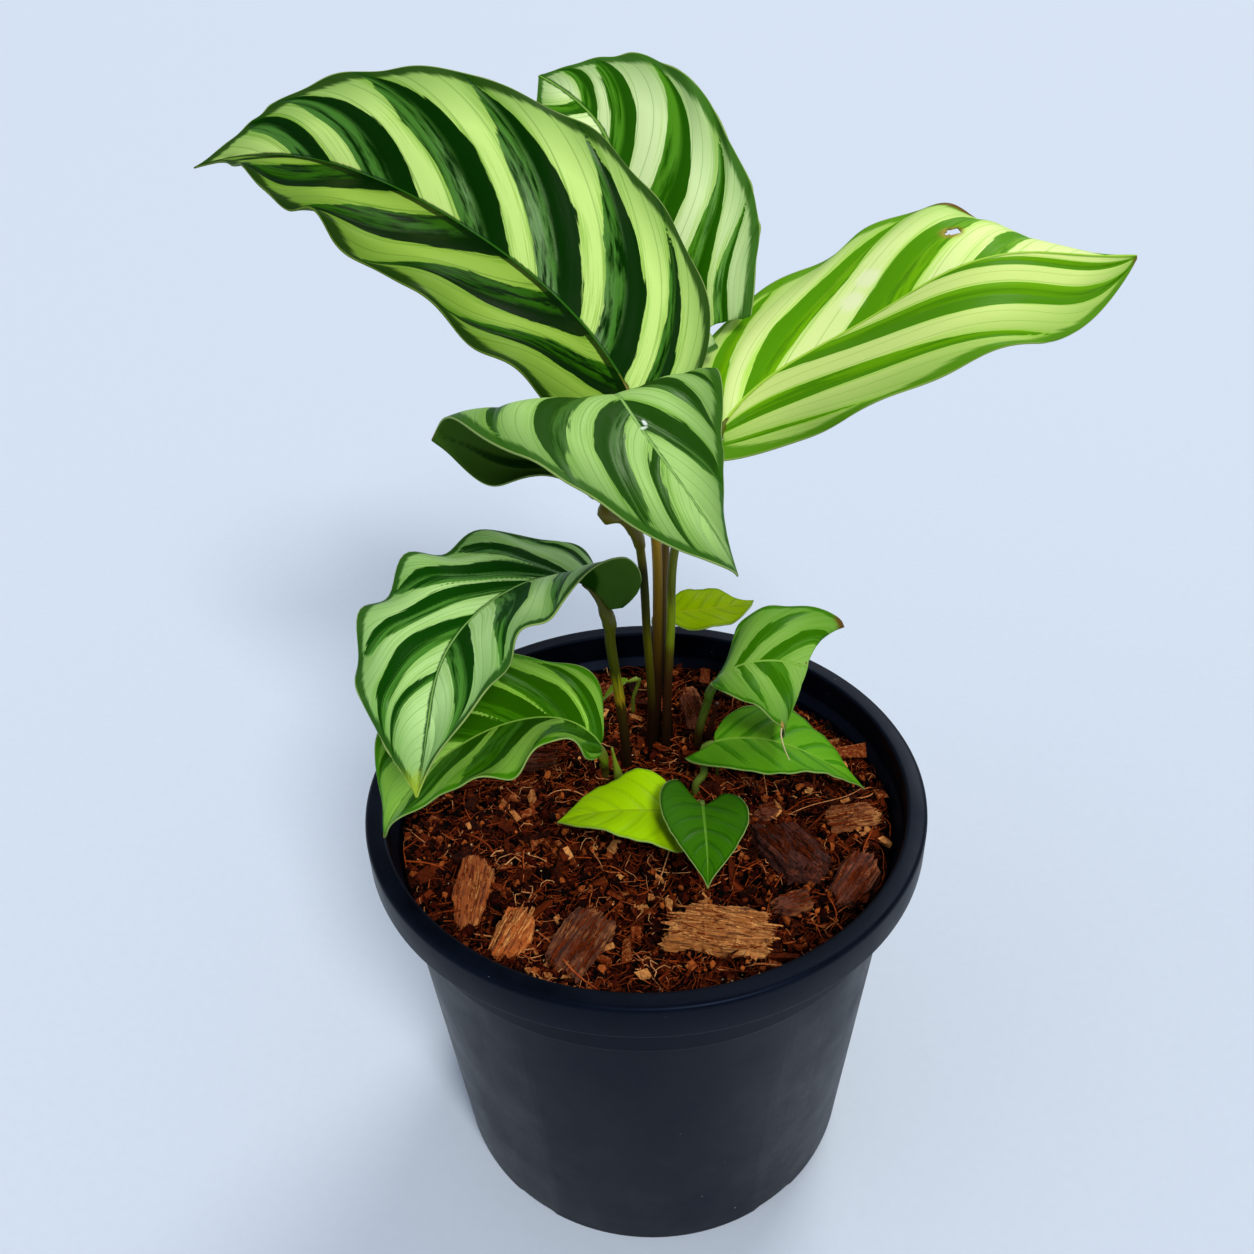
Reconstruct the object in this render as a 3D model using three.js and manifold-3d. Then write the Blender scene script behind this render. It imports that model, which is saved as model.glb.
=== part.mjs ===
import * as THREE from 'three';
import { mergeVertices } from 'three/addons/utils/BufferGeometryUtils.js';
import Module from 'manifold-3d';

// A young calathea freddie in a round plastic nursery pot. Millimetres, +Z up. The origin is on
// the pot's axis, level with the surface that the pot stands on, and -Y is the plant's front.
// Every leaf is a thin blade on a round stem, and every stem stands in a hole in the potting mix.

const wasm = await Module();
wasm.setup();

// Clearance between neighbouring solids
const GAP = 0.3;
const HOLE_ROOM = 0.38;
const BED_ROOM = 0.42;
const FACET_ROOM = 0.2;

// Nursery pot
const POT_HEIGHT = 134;
const BASE_RADIUS = 65;
const WALL = 1.5;
const FLOOR = 3;
const FLOOR_ROUND = 1.1;
const NECK_RADIUS = 74;
const NECK_HEIGHT = 107;
const COLLAR_RADIUS = 75.6;
const COLLAR_EASE = 1.5;
const RIM_RADIUS = 82.5;
const MOUTH_RADIUS = 76.6;
const RIM_DEPTH = 11;
const RIM_ROUND = 0.8;
const POT_SEGMENTS = 60;
const DRAIN_COUNT = 5;
const DRAIN_WIDTH = 14;
const DRAIN_HEIGHT = 1.6;
const DRAIN_DEPTH = 7;
const DRAIN_START = -127;

// Potting mix of coarse coir
const SOIL_LEVEL = 122.6;
const SOIL_MOUND = 2.2;
const MOUND_RADIUS = 34;
const PLANT_CENTRE = [6, 22];
const SOIL_RINGS = 11;
const SOIL_SPOKES = 42;
const CRUMB_HEIGHT = 1.1;
const CRUMB_SINK = 0.45;
const SPOKE_SCATTER = 0.6;
const RING_SCATTER = 0.5;
const EDGE_DROP = 0.6;
const DIPS = { depth: 0.7, reachX: 11, startX: 0.6, reachY: 9, startY: -0.4 };
const RIPPLES = { depth: 0.4, reach: 6 };
const SOIL_SEED = 7;

// Stems
const STEM_SIDES = 8;
const STEM_SOCKET = 14;
const STEM_STRAIGHT = 2.5;
const STEM_STEP = 6;
const STEM_FEWEST_STEPS = 6;
const FOOT_SWELL = 0.25;
const FOOT_SHARE = 0.25;
const JOINT_PLACE = 0.93;
const JOINT_SPREAD = 0.045;
const THINS_FROM = 0.95;
const END_SHARE = 0.75;
const STEM_MEETS = 0.03;
const STEM_LEAD = -2.5;
const STEM_DROP = 0.25;
const LEAD_DROP = 0.6;
const SHOOT_THINS_FROM = 0.5;

// Husk chips
const CHIP_CORNERS = 8;
const CHIP_BEVEL = 0.6;
const CHIP_LEAST_REACH = 0.84;
const CHIP_REACH_SPREAD = 0.24;
const CHIP_CORNER_SCATTER = 0.35;
const CHIP_FULLNESS = 0.8;
const FIRST_CHIP_SEED = 40;

// Leaf blades
const BLADE = 0.7;
const FULLNESS = 1.5;
const BULGE = 20;
const MIDRIB_STEPS = 240;
const LOBE_SPREAD = 1.6;
const LOBE_FADE = 5;
const SPLIT_FADE = 5;
const RIPPLE_EASE = 0.7;
const TIP = 0.998;
const GRID = {
  large: { rows: 24, half: 4, first: 0.01, last: 0.98 },
  small: { rows: 12, half: 3, first: 0.02, last: 0.97 },
  tiny: { rows: 8, half: 2, first: 0.05, last: 0.95 },
};

// Colours seen on the plant
const DEEP_GREEN = '#2f6b28';
const SOFT_GREEN = '#4f8f3a';
const YOUNG_GREEN = '#86b52a';
const OLIVE = '#5a4a1a';
const STEM_GREEN = '#5f8030';
const DRY_BROWN = '#5b3220';
const POT_BLACK = '#1d2127';
const MIX_BROWN = '#4a2114';

const ROUGHNESS = { pot: 0.45, leaf: 0.42, stem: 0.5, shoot: 0.6, chip: 0.9, mix: 0.95 };

// Each leaf grows from its base point along a midrib. Heading is the compass direction in plan,
// counted from +X towards +Y, and pitch is the climb, both in degrees at even steps from the base
// to the tip, with the roll about the midrib. Left and right are the two halves of the blade seen
// from the base. Fold lifts a half about the midrib, lobe draws its base corner back past the
// stem, and wave is the margin's ripple: the number of waves, their height and their phase. Where
// a blade is narrower on its left, leftShare says by how much. The stem passes the listed points
// between the potting mix and the blade.
const LEAVES = {
  upper_left: {
    base: [0.5, 32.5, 241], length: 164, width: 88, widest: 0.29, grid: 'large', colour: DEEP_GREEN,
    heading: [138, 152, 153, 146, 167], pitch: [55, 34, 20, -1, -16], roll: [1, -2, 6],
    fold: { left: [11, 3, 0], right: [14, 47, 67] }, lobe: { left: 11, right: 11 },
    wave: { left: [5, -2.5, 0], right: [4.5, 1, -95] },
    stem: { root: [4.5, 33.5], path: [[5.5, 33, 165], [5.5, 33, 199]], radius: 1.45, joint: 1.8 },
  },
  upper_back: {
    base: [24, 66, 248], length: 115, width: 77, widest: 0.36, grid: 'large', colour: DEEP_GREEN,
    heading: [155, 119, 103, 121, 128], pitch: [11, 39, 43, 20, 8], roll: [-21, -19, -32],
    fold: { left: [13, 8, 0], right: [24, 14, 14] }, lobe: { left: 9, right: 13 },
    wave: { left: [3, 1.5, 0], right: [1.5, 3.5, 60] },
    stem: {
      root: [8.5, 34.5], path: [[7.5, 43, 157], [9, 50.5, 186], [11.5, 62, 225], [12.5, 67, 240]],
      radius: 1.25, joint: 1.5, meets: 0.12, lead: 9,
    },
  },
  upper_right: {
    base: [24.5, 41, 228.5], length: 140, width: 74, widest: 0.45, grid: 'large', colour: SOFT_GREEN,
    heading: [56, 7, 1, 15, 25], pitch: [27, 27, 31, -8, -8], roll: [18, 14, 16],
    fold: { left: [1, 0, -31], right: [0, -1, -53] }, lobe: { left: 12, right: 13 },
    wave: { left: [2, 0.5, 0], right: [2, 0.5, 90] },
    stem: { root: [7.5, 29.5], path: [[9.5, 34, 164], [11.5, 37, 194]], radius: 1.35, joint: 1.7 },
  },
  arched_front: {
    base: [-8.5, 3, 226.5], length: 101, width: 83, widest: 0.39, grid: 'large', colour: DEEP_GREEN,
    heading: [-122, -89, -73, -45, -25], pitch: [138, 67, -4, -39, -63], roll: [67, 11, -22],
    fold: { left: [32, -16, -8, -1, 4], right: [-8, 10, 18, 6, 2] }, lobe: { left: 2, right: 2 },
    wave: { left: [3, 1, 0], right: [3, 2.5, 70] }, leftShare: 0.62,
    stem: {
      root: [2.5, 29], path: [[3, 23, 147], [2, 15.5, 177], [1, 8, 206], [-1, 5, 218]],
      radius: 1.2, joint: 1.9,
    },
  },
  arched_left: {
    base: [-8.5, 8, 190], length: 97, width: 65, widest: 0.35, grid: 'large', colour: DEEP_GREEN,
    heading: [160, 201, 229, 261, 257], pitch: [70, 1, -20, -35, -38], roll: [1, 0, 1],
    fold: { left: [79, 26, 23, 32, 57], right: [-15, 6, 10] }, lobe: { left: 0, right: 3 },
    wave: { left: [2.5, 1.5, 0], right: [6.5, 3, 140] },
    stem: { root: [-5.2, 19.2], path: [[-6.5, 14, 154], [-8.5, 9.5, 179]], radius: 1.6, joint: 2 },
  },
  low_left: {
    base: [-12, -7, 154], length: 80, width: 54, widest: 0.39, grid: 'large', colour: SOFT_GREEN,
    heading: [165, 187, 198, 209, 206], pitch: [64, 8, -19, -37, -67], roll: [20, 7, 4],
    fold: { left: [-6, 9, 4, 23, 18], right: [27, 28, 21] }, lobe: { left: 1, right: -2 },
    wave: { left: [3, -2.5, 20], right: [3, -4.5, 165] },
    stem: { root: [-12, 14.8], path: [[-12.2, 6, 136]], radius: 1.25, joint: 1.5 },
  },
  back_small: {
    base: [8, 54.5, 157.5], length: 32, width: 20, widest: 0.42, grid: 'small', colour: YOUNG_GREEN,
    heading: [-6, 14, 37], pitch: [5, -3, -11], roll: [11, 8, -7],
    fold: { left: [7, 8, 0], right: [3, 2, 4] }, lobe: { left: 0, right: 0 },
    wave: { left: [2, 1, -40], right: [2.5, 1, 55] },
    stem: { root: [9, 40], path: [[8, 46, 138]], radius: 0.8, joint: 0.9 },
  },
  split_right: {
    base: [21, 16.5, 157.5], length: 32, width: 41, widest: 0.54, grid: 'small', colour: SOFT_GREEN,
    heading: [-7, 4, 9], pitch: [56, 4, -35], roll: [-21, 10, 37],
    fold: { left: [-5, 0, -6], right: [5, -5, -23] }, lobe: { left: 0, right: 0 },
    wave: { left: [2.5, 0, 0], right: [2.5, 0.5, 95] }, splitWidth: 1, splitReach: 13.5,
    stem: { root: [17.8, 28], path: [[18.1, 23.7, 135.7], [20.1, 19.4, 149]], radius: 1.3, joint: 1.4 },
  },
  low_right: {
    base: [20.5, 10, 140], length: 51, width: 34, widest: 0.39, grid: 'small', colour: SOFT_GREEN,
    heading: [-4, -11, -17], pitch: [20, -20, -40], roll: [5, -5, -25],
    fold: { left: [0, 6, 4], right: [-2, 8, 17] }, lobe: { left: 0, right: 12 },
    wave: { left: [3, 0.5, 0], right: [2, 1, 10] },
    stem: { root: [15.8, 6.5], path: [[18, 7.4, 130]], radius: 1.2, joint: 1.3 },
  },
  front_young: {
    base: [12.5, -12, 132.5], length: 40, width: 36, widest: 0.36, grid: 'small', colour: YOUNG_GREEN,
    heading: [204, 188, 189], pitch: [27, 8, -15], roll: [-20, 7, 15],
    fold: { left: [0, 7, 6], right: [2, 1, 1] }, lobe: { left: 0, right: -1 },
    wave: { left: [3, 0.5, 30], right: [2.5, 0.5, 150] },
    stem: { root: [13.5, -5.5], path: [], radius: 0.9, joint: 1 },
  },
  front_heart: {
    base: [16, -17, 140], length: 30, width: 27, widest: 0.23, grid: 'small', colour: DEEP_GREEN,
    heading: [-91, -90, -95], pitch: [9, -4, -27], roll: [-9, -6, -3],
    fold: { left: [4, 9, 14], right: [9, 12, 16] }, lobe: { left: 10, right: 14 },
    wave: { left: [2.5, 0.5, 20], right: [2.5, 0, 90] },
    stem: { root: [17.5, -9], path: [[17.2, -11, 130]], radius: 0.9, joint: 1 },
  },
  sprout: {
    base: [-3.3, 42, 140.5], length: 13, width: 5.5, widest: 0.35, grid: 'tiny', colour: YOUNG_GREEN,
    heading: [190, 182, 180], pitch: [-20, -45, -50], roll: [0, 0, 0],
    fold: { left: [25, 25, 20], right: [25, 25, 20] }, lobe: { left: 0, right: 0 },
    wave: { left: [1, 0, 0], right: [1, 0, 0] },
    stem: { root: [-2.6, 46.5], path: [[-2.4, 45, 131]], radius: 0.6, joint: 0.7 },
  },
};

// Bare shoots: a dried stem and two pointed sheaths of new growth
const SHOOTS = {
  dry_stem: {
    root: [21, 28.8], path: [[22, 27, 134], [23.3, 24.5, 143.5]],
    radius: 1.1, tip: 0.7, colour: DRY_BROWN,
  },
  sheath_left: {
    root: [-8, 12], path: [[-8.6, 11.6, 131], [-9.5, 11.5, 138]],
    radius: 1.5, tip: 0.35, colour: YOUNG_GREEN,
  },
  sheath_right: {
    root: [23, 13.5], path: [[24.5, 12.8, 129.5]],
    radius: 1, tip: 0.3, colour: STEM_GREEN,
  },
};

// Coconut husk chips lying in the mix: place in plan, size along and across, thickness, the
// direction of the long side, the tilt of the top face and how far the middle stands proud
const CHIPS = {
  husk_block_left: {
    at: [-50, -32], size: [23, 12], thick: 10,
    turn: 82, tilt: [6, -24], proud: 4.5, colour: '#9a5526',
  },
  husk_block_front_left: {
    at: [-37.5, -47], size: [16, 12], thick: 8,
    turn: 60, tilt: [10, -16], proud: 4, colour: '#a35a28',
  },
  husk_flat_front: {
    at: [-19, -51], size: [24, 16], thick: 6,
    turn: 58, tilt: [8, -10], proud: 3, colour: '#6f3c20',
  },
  husk_fibrous_front: {
    at: [19, -50], size: [36, 17], thick: 7,
    turn: -8, tilt: [14, 4], proud: 4, colour: '#b58350',
  },
  husk_slab_right: {
    at: [42, -20], size: [29, 22], thick: 6,
    turn: 115, tilt: [12, 8], proud: 3, colour: '#5d2c1c',
  },
  husk_flat_right: {
    at: [61, -8], size: [16, 10], thick: 3.5,
    turn: 8, tilt: [14, -4], proud: 3.2, colour: '#7d4526',
  },
  husk_edge_right: {
    at: [57, -33], size: [19, 13], thick: 6,
    turn: 50, tilt: [14, -12], proud: 4, colour: '#59301e',
  },
  husk_corner_right: {
    at: [40, -40], size: [12, 8], thick: 4,
    turn: 20, tilt: [10, 4], proud: 2.4, colour: '#64351f',
  },
  husk_small_right: {
    at: [37, -3], size: [8, 6], thick: 4.5,
    turn: 30, tilt: [8, 10], proud: 2.4, colour: '#6b3a24',
  },
  husk_back: {
    at: [17, 43], size: [16, 8], thick: 4,
    turn: 112, tilt: [0, -38], proud: 4.6, colour: '#80432a',
  },
  husk_back_left: {
    at: [-14, 56], size: [10, 7], thick: 4,
    turn: 30, tilt: [20, -12], proud: 3.2, colour: '#8a4a2c',
  },
  husk_left: {
    at: [-32, 24], size: [13, 9], thick: 4.5,
    turn: 10, tilt: [12, 8], proud: 2.8, colour: '#6a3822',
  },
};

const plant = new THREE.Group();

// Seeded draws, so that the same shapes come every time
function draws(seed) {
  let state = seed >>> 0;
  return () => {
    state = (state + 0x6d2b79f5) >>> 0;
    let mixed = state;
    mixed = Math.imul(mixed ^ (mixed >>> 15), mixed | 1);
    mixed ^= mixed + Math.imul(mixed ^ (mixed >>> 7), mixed | 61);
    return ((mixed ^ (mixed >>> 14)) >>> 0) / 4294967296;
  };
}

function radians(degrees) {
  return THREE.MathUtils.degToRad(degrees);
}

function addMesh(name, geometry, colour, roughness) {
  const material = new THREE.MeshStandardMaterial({ color: colour, roughness, metalness: 0 });
  const mesh = new THREE.Mesh(geometry, material);
  mesh.name = name;
  plant.add(mesh);
}

// Joins and cuts

function toSolid(geometry) {
  const bare = geometry.clone();
  bare.deleteAttribute('normal');
  bare.deleteAttribute('uv');
  const merged = mergeVertices(bare, 1e-4);
  return new wasm.Manifold(new wasm.Mesh({
    numProp: 3,
    vertProperties: new Float32Array(merged.attributes.position.array),
    triVerts: new Uint32Array(merged.index.array),
  }));
}

function toGeometry(solid) {
  const mesh = solid.getMesh();
  const geometry = new THREE.BufferGeometry();
  geometry.setAttribute('position', new THREE.BufferAttribute(mesh.vertProperties, 3));
  geometry.setIndex(new THREE.BufferAttribute(mesh.triVerts, 1));
  geometry.computeVertexNormals();
  return geometry;
}

function closedGeometry(points, faces) {
  const geometry = new THREE.BufferGeometry();
  const positions = points.flatMap((p) => [p.x, p.y, p.z]);
  geometry.setAttribute('position', new THREE.Float32BufferAttribute(positions, 3));
  geometry.setIndex(faces.flat());
  geometry.computeVertexNormals();
  return geometry;
}

// Smooth curve through values that are evenly spaced from the base to the tip
function between(values, t) {
  const last = values.length - 1;
  const place = Math.min(Math.max(t, 0), 1) * last;
  const i = Math.min(Math.floor(place), last - 1);
  const before = i > 0 ? values[i - 1] : 2 * values[i] - values[i + 1];
  const after = i < last - 1 ? values[i + 2] : 2 * values[i + 1] - values[i];
  const f = place - i;
  const slope = values[i + 1] - before;
  const bend = 2 * before - 5 * values[i] + 4 * values[i + 1] - after;
  const twist = 3 * values[i] - before - 3 * values[i + 1] + after;
  return 0.5 * (2 * values[i] + f * (slope + f * (bend + f * twist)));
}

// Direction of the midrib at t, with the blade's left and its upper side
function midribAxes(leaf, t) {
  const heading = radians(between(leaf.heading, t));
  const pitch = radians(between(leaf.pitch, t));
  const roll = radians(between(leaf.roll, t));
  const flat = new THREE.Vector3(Math.cos(heading), Math.sin(heading), 0);
  const along = flat.clone().multiplyScalar(Math.cos(pitch)).setZ(Math.sin(pitch));
  const level = new THREE.Vector3(-Math.sin(heading), Math.cos(heading), 0);
  const raised = flat.clone().multiplyScalar(-Math.sin(pitch)).setZ(Math.cos(pitch));
  const left = level.clone().multiplyScalar(Math.cos(roll)).addScaledVector(raised, Math.sin(roll));
  const up = raised.clone().multiplyScalar(Math.cos(roll)).addScaledVector(level, -Math.sin(roll));
  return { along, left, up };
}

// Places along the midrib, added up in short steps from the base
function midribPlaces(leaf) {
  const places = [new THREE.Vector3(...leaf.base)];
  for (let i = 0; i < MIDRIB_STEPS; i += 1) {
    const { along } = midribAxes(leaf, (i + 0.5) / MIDRIB_STEPS);
    places.push(places[i].clone().addScaledVector(along, leaf.length / MIDRIB_STEPS));
  }
  return places;
}

function midribPlace(places, t) {
  const step = t * MIDRIB_STEPS;
  const i = Math.min(Math.floor(step), MIDRIB_STEPS - 1);
  return places[i].clone().lerp(places[i + 1], step - i);
}

// Half width of the blade: a full oval that is widest at the given share of its length
function halfWidth(leaf, t) {
  const rise = FULLNESS * leaf.widest;
  const fall = FULLNESS * (1 - leaf.widest);
  const peak = leaf.widest ** rise * (1 - leaf.widest) ** fall;
  const oval = t ** rise * Math.max(1 - t, 0) ** fall / peak;
  return (leaf.width / 2) * (oval + (leaf.splitWidth ?? 0) * t ** SPLIT_FADE);
}

// Point on the middle surface of the blade, v from -1 at the right margin to 1 at the left one
function bladePoint(leaf, places, t, v) {
  const { along, left, up } = midribAxes(leaf, t);
  const side = v >= 0 ? 'left' : 'right';
  const sign = v >= 0 ? 1 : -1;
  const a = Math.abs(v);
  const start = radians(between(leaf.fold[side], t) + BULGE / 2);
  const turn = radians(-BULGE);
  const angle = start + turn * a;
  const out = (Math.sin(angle) - Math.sin(start)) / turn;
  const lift = (Math.cos(start) - Math.cos(angle)) / turn;
  const width = halfWidth(leaf, t) * (side === 'left' ? leaf.leftShare ?? 1 : 1);
  const [count, height, phase] = leaf.wave[side];
  const ripple = height * Math.sin(2 * Math.PI * count * t + radians(phase)) * a * a
    * Math.sin(Math.PI * Math.min(t, 1)) ** RIPPLE_EASE;
  const ahead = (side === 'left' ? leaf.splitReach ?? 0 : 0) * a * a * t ** 3
    - leaf.lobe[side] * a ** LOBE_SPREAD * (1 - t) ** LOBE_FADE;
  return midribPlace(places, t)
    .addScaledVector(left, sign * (width * out - ripple * Math.sin(angle)))
    .addScaledVector(up, width * lift + ripple * Math.cos(angle))
    .addScaledVector(along, ahead);
}

// Closed blade: the middle surface shifted half the thickness each way and joined at the edge.
// Both faces share one pattern of triangles, so they never cross where the margin waves. A blade
// that isn't split runs out to a point past its last row.
function bladeSolid(leaf, places) {
  const { rows, half, first } = GRID[leaf.grid];
  const columns = 2 * half;
  const last = leaf.splitWidth ? 1 : GRID[leaf.grid].last;
  const stationOf = (i) => {
    const even = i / rows;
    const eased = (1 - Math.cos(Math.PI * even)) / 2;
    return THREE.MathUtils.lerp(first, last, (even + eased) / 2);
  };
  const pointAt = (i, j) => bladePoint(leaf, places, stationOf(i), j / half - 1);
  const upper = [];
  const lower = [];
  for (let i = 0; i <= rows; i += 1) {
    for (let j = 0; j <= columns; j += 1) {
      const lengthwise = pointAt(Math.min(i + 1, rows), j).sub(pointAt(Math.max(i - 1, 0), j));
      const crosswise = pointAt(i, Math.min(j + 1, columns)).sub(pointAt(i, Math.max(j - 1, 0)));
      const normal = lengthwise.cross(crosswise).normalize();
      upper.push(pointAt(i, j).addScaledVector(normal, BLADE / 2));
      lower.push(pointAt(i, j).addScaledVector(normal, -BLADE / 2));
    }
  }
  const at = (i, j) => i * (columns + 1) + j;
  if (!leaf.splitWidth) {
    const normal = upper[at(rows, half)].clone().sub(lower[at(rows, half)]).normalize();
    upper.push(midribPlace(places, TIP).addScaledVector(normal, BLADE / 2));
    lower.push(midribPlace(places, TIP).addScaledVector(normal, -BLADE / 2));
  }
  const shift = upper.length;
  const tip = shift - 1;
  const faces = [];
  for (let i = 0; i < rows; i += 1) {
    for (let j = 0; j < columns; j += 1) {
      const [a, b, c, d] = [at(i, j), at(i + 1, j), at(i + 1, j + 1), at(i, j + 1)];
      faces.push([a, b, c], [a, c, d]);
      faces.push([a + shift, c + shift, b + shift], [a + shift, d + shift, c + shift]);
    }
  }
  const count = (n) => Array.from({ length: n }, (_, k) => k);
  const end = count(columns).map((j) => at(rows, columns - j));
  if (!leaf.splitWidth) {
    end.forEach((a) => {
      faces.push([tip, a, a - 1], [tip + shift, a - 1 + shift, a + shift]);
    });
    end.splice(1, columns - 1, tip);
  }
  const edge = [
    ...count(columns).map((j) => at(0, j)),
    ...count(rows).map((i) => at(i, columns)),
    ...end,
    ...count(rows).map((i) => at(rows - i, 0)),
  ];
  edge.forEach((a, k) => {
    const b = edge[(k + 1) % edge.length];
    faces.push([a, b, b + shift], [a, b + shift, a + shift]);
  });
  return closedGeometry([...upper, ...lower], faces);
}

// Round stem along a smooth path, with its radius given by the share of the length
function stemSolid(points, radiusAt, extra = 0) {
  const path = new THREE.CatmullRomCurve3(points, false, 'centripetal');
  const steps = Math.max(STEM_FEWEST_STEPS, Math.round(path.getLength() / STEM_STEP));
  const frames = path.computeFrenetFrames(steps, false);
  const rings = [];
  for (let i = 0; i <= steps; i += 1) {
    const share = i / steps;
    const centre = path.getPointAt(share);
    centre.z -= i === 0 ? extra : 0;
    const radius = radiusAt(share) + extra;
    for (let k = 0; k < STEM_SIDES; k += 1) {
      const angle = (2 * Math.PI * k) / STEM_SIDES;
      rings.push(centre.clone()
        .addScaledVector(frames.normals[i], radius * Math.cos(angle))
        .addScaledVector(frames.binormals[i], radius * Math.sin(angle)));
    }
  }
  const faces = [];
  const at = (i, k) => i * STEM_SIDES + (k % STEM_SIDES);
  for (let i = 0; i < steps; i += 1) {
    for (let k = 0; k < STEM_SIDES; k += 1) {
      const [a, b, c, d] = [at(i, k), at(i, k + 1), at(i + 1, k + 1), at(i + 1, k)];
      faces.push([a, b, c], [a, c, d]);
    }
  }
  for (let k = 1; k < STEM_SIDES - 1; k += 1) {
    faces.push([at(0, 0), at(0, k + 1), at(0, k)], [at(steps, 0), at(steps, k), at(steps, k + 1)]);
  }
  return closedGeometry(rings, faces);
}

// Straight foot of a stem, which stands upright in the mix
function stemFoot([x, y]) {
  const level = soilHeight(x, y);
  return [level - STEM_SOCKET, level - STEM_SOCKET / 2, level + STEM_STRAIGHT]
    .map((z) => new THREE.Vector3(x, y, z));
}

// A leaf's stem swells at its joint and thins where it runs in under the midrib
function leafStem(leaf, places) {
  const { root, path, radius, joint, meets = STEM_MEETS, lead = STEM_LEAD } = leaf.stem;
  const end = END_SHARE * radius;
  const { along, up } = midribAxes(leaf, meets);
  const under = BLADE / 2 + GAP + end + STEM_DROP;
  const arrival = midribPlace(places, meets).addScaledVector(up, -under);
  const approach = new THREE.Vector3(...leaf.base)
    .addScaledVector(along, lead)
    .addScaledVector(up, -under - LEAD_DROP);
  const points = [...stemFoot(root), ...path.map((p) => new THREE.Vector3(...p)), approach, arrival];
  const radiusAt = (share) => {
    const foot = FOOT_SWELL * radius * Math.max(0, 1 - share / FOOT_SHARE);
    const swelling = (joint - radius) * Math.exp(-(((share - JOINT_PLACE) / JOINT_SPREAD) ** 2));
    const thinning = (radius - end) * THREE.MathUtils.smoothstep(share, THINS_FROM, 1);
    return radius + foot + swelling - thinning;
  };
  return { points, radiusAt };
}

function shootStem({ root, path, radius, tip }) {
  const points = [...stemFoot(root), ...path.map((p) => new THREE.Vector3(...p))];
  const radiusAt = (share) => {
    const thinning = THREE.MathUtils.smoothstep(share, SHOOT_THINS_FROM, 1);
    return THREE.MathUtils.lerp(radius, tip, thinning);
  };
  return { points, radiusAt };
}

// Height of the mix: a low mound about the plant, broad dips and small crumbs
function soilHeight(x, y) {
  const fromPlant = Math.hypot(x - PLANT_CENTRE[0], y - PLANT_CENTRE[1]);
  const mound = SOIL_MOUND * Math.exp(-((fromPlant / MOUND_RADIUS) ** 2));
  const across = Math.sin(x / DIPS.reachX + DIPS.startX);
  const dips = DIPS.depth * across * Math.cos(y / DIPS.reachY + DIPS.startY);
  const ripples = RIPPLES.depth * Math.sin((x + y) / RIPPLES.reach);
  return SOIL_LEVEL + mound + dips + ripples;
}

// Inner wall of the pot from the floor up, as radius and height
const INNER_WALL = [
  [BASE_RADIUS - WALL - FLOOR_ROUND, FLOOR],
  [BASE_RADIUS - WALL, FLOOR + FLOOR_ROUND],
  [NECK_RADIUS - WALL, NECK_HEIGHT],
  [COLLAR_RADIUS - WALL, POT_HEIGHT - RIM_DEPTH - COLLAR_EASE],
  [MOUTH_RADIUS, POT_HEIGHT - RIM_DEPTH + COLLAR_EASE],
];

function potSolid() {
  const rimFoot = POT_HEIGHT - RIM_DEPTH;
  const outline = [
    [0, 0], [BASE_RADIUS - RIM_ROUND, 0], [BASE_RADIUS, RIM_ROUND],
    [NECK_RADIUS, NECK_HEIGHT], [COLLAR_RADIUS, NECK_HEIGHT + COLLAR_EASE],
    [COLLAR_RADIUS, rimFoot], [RIM_RADIUS - RIM_ROUND, rimFoot],
    [RIM_RADIUS, rimFoot + RIM_ROUND], [RIM_RADIUS, POT_HEIGHT - RIM_ROUND],
    [RIM_RADIUS - RIM_ROUND, POT_HEIGHT], [MOUTH_RADIUS + RIM_ROUND, POT_HEIGHT],
    [MOUTH_RADIUS, POT_HEIGHT - RIM_ROUND],
    ...INNER_WALL.toReversed(), [0, FLOOR],
  ].map(([r, z]) => new THREE.Vector2(r, z));
  const body = new THREE.LatheGeometry(outline, POT_SEGMENTS);
  body.rotateX(Math.PI / 2);
  let pot = toSolid(body);
  for (let i = 0; i < DRAIN_COUNT; i += 1) {
    const notch = new THREE.BoxGeometry(2 * DRAIN_DEPTH, DRAIN_WIDTH, 2 * DRAIN_HEIGHT);
    notch.translate(BASE_RADIUS, 0, 0);
    notch.rotateZ(radians(DRAIN_START + (i * 360) / DRAIN_COUNT));
    pot = pot.subtract(toSolid(notch));
  }
  return pot;
}

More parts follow.
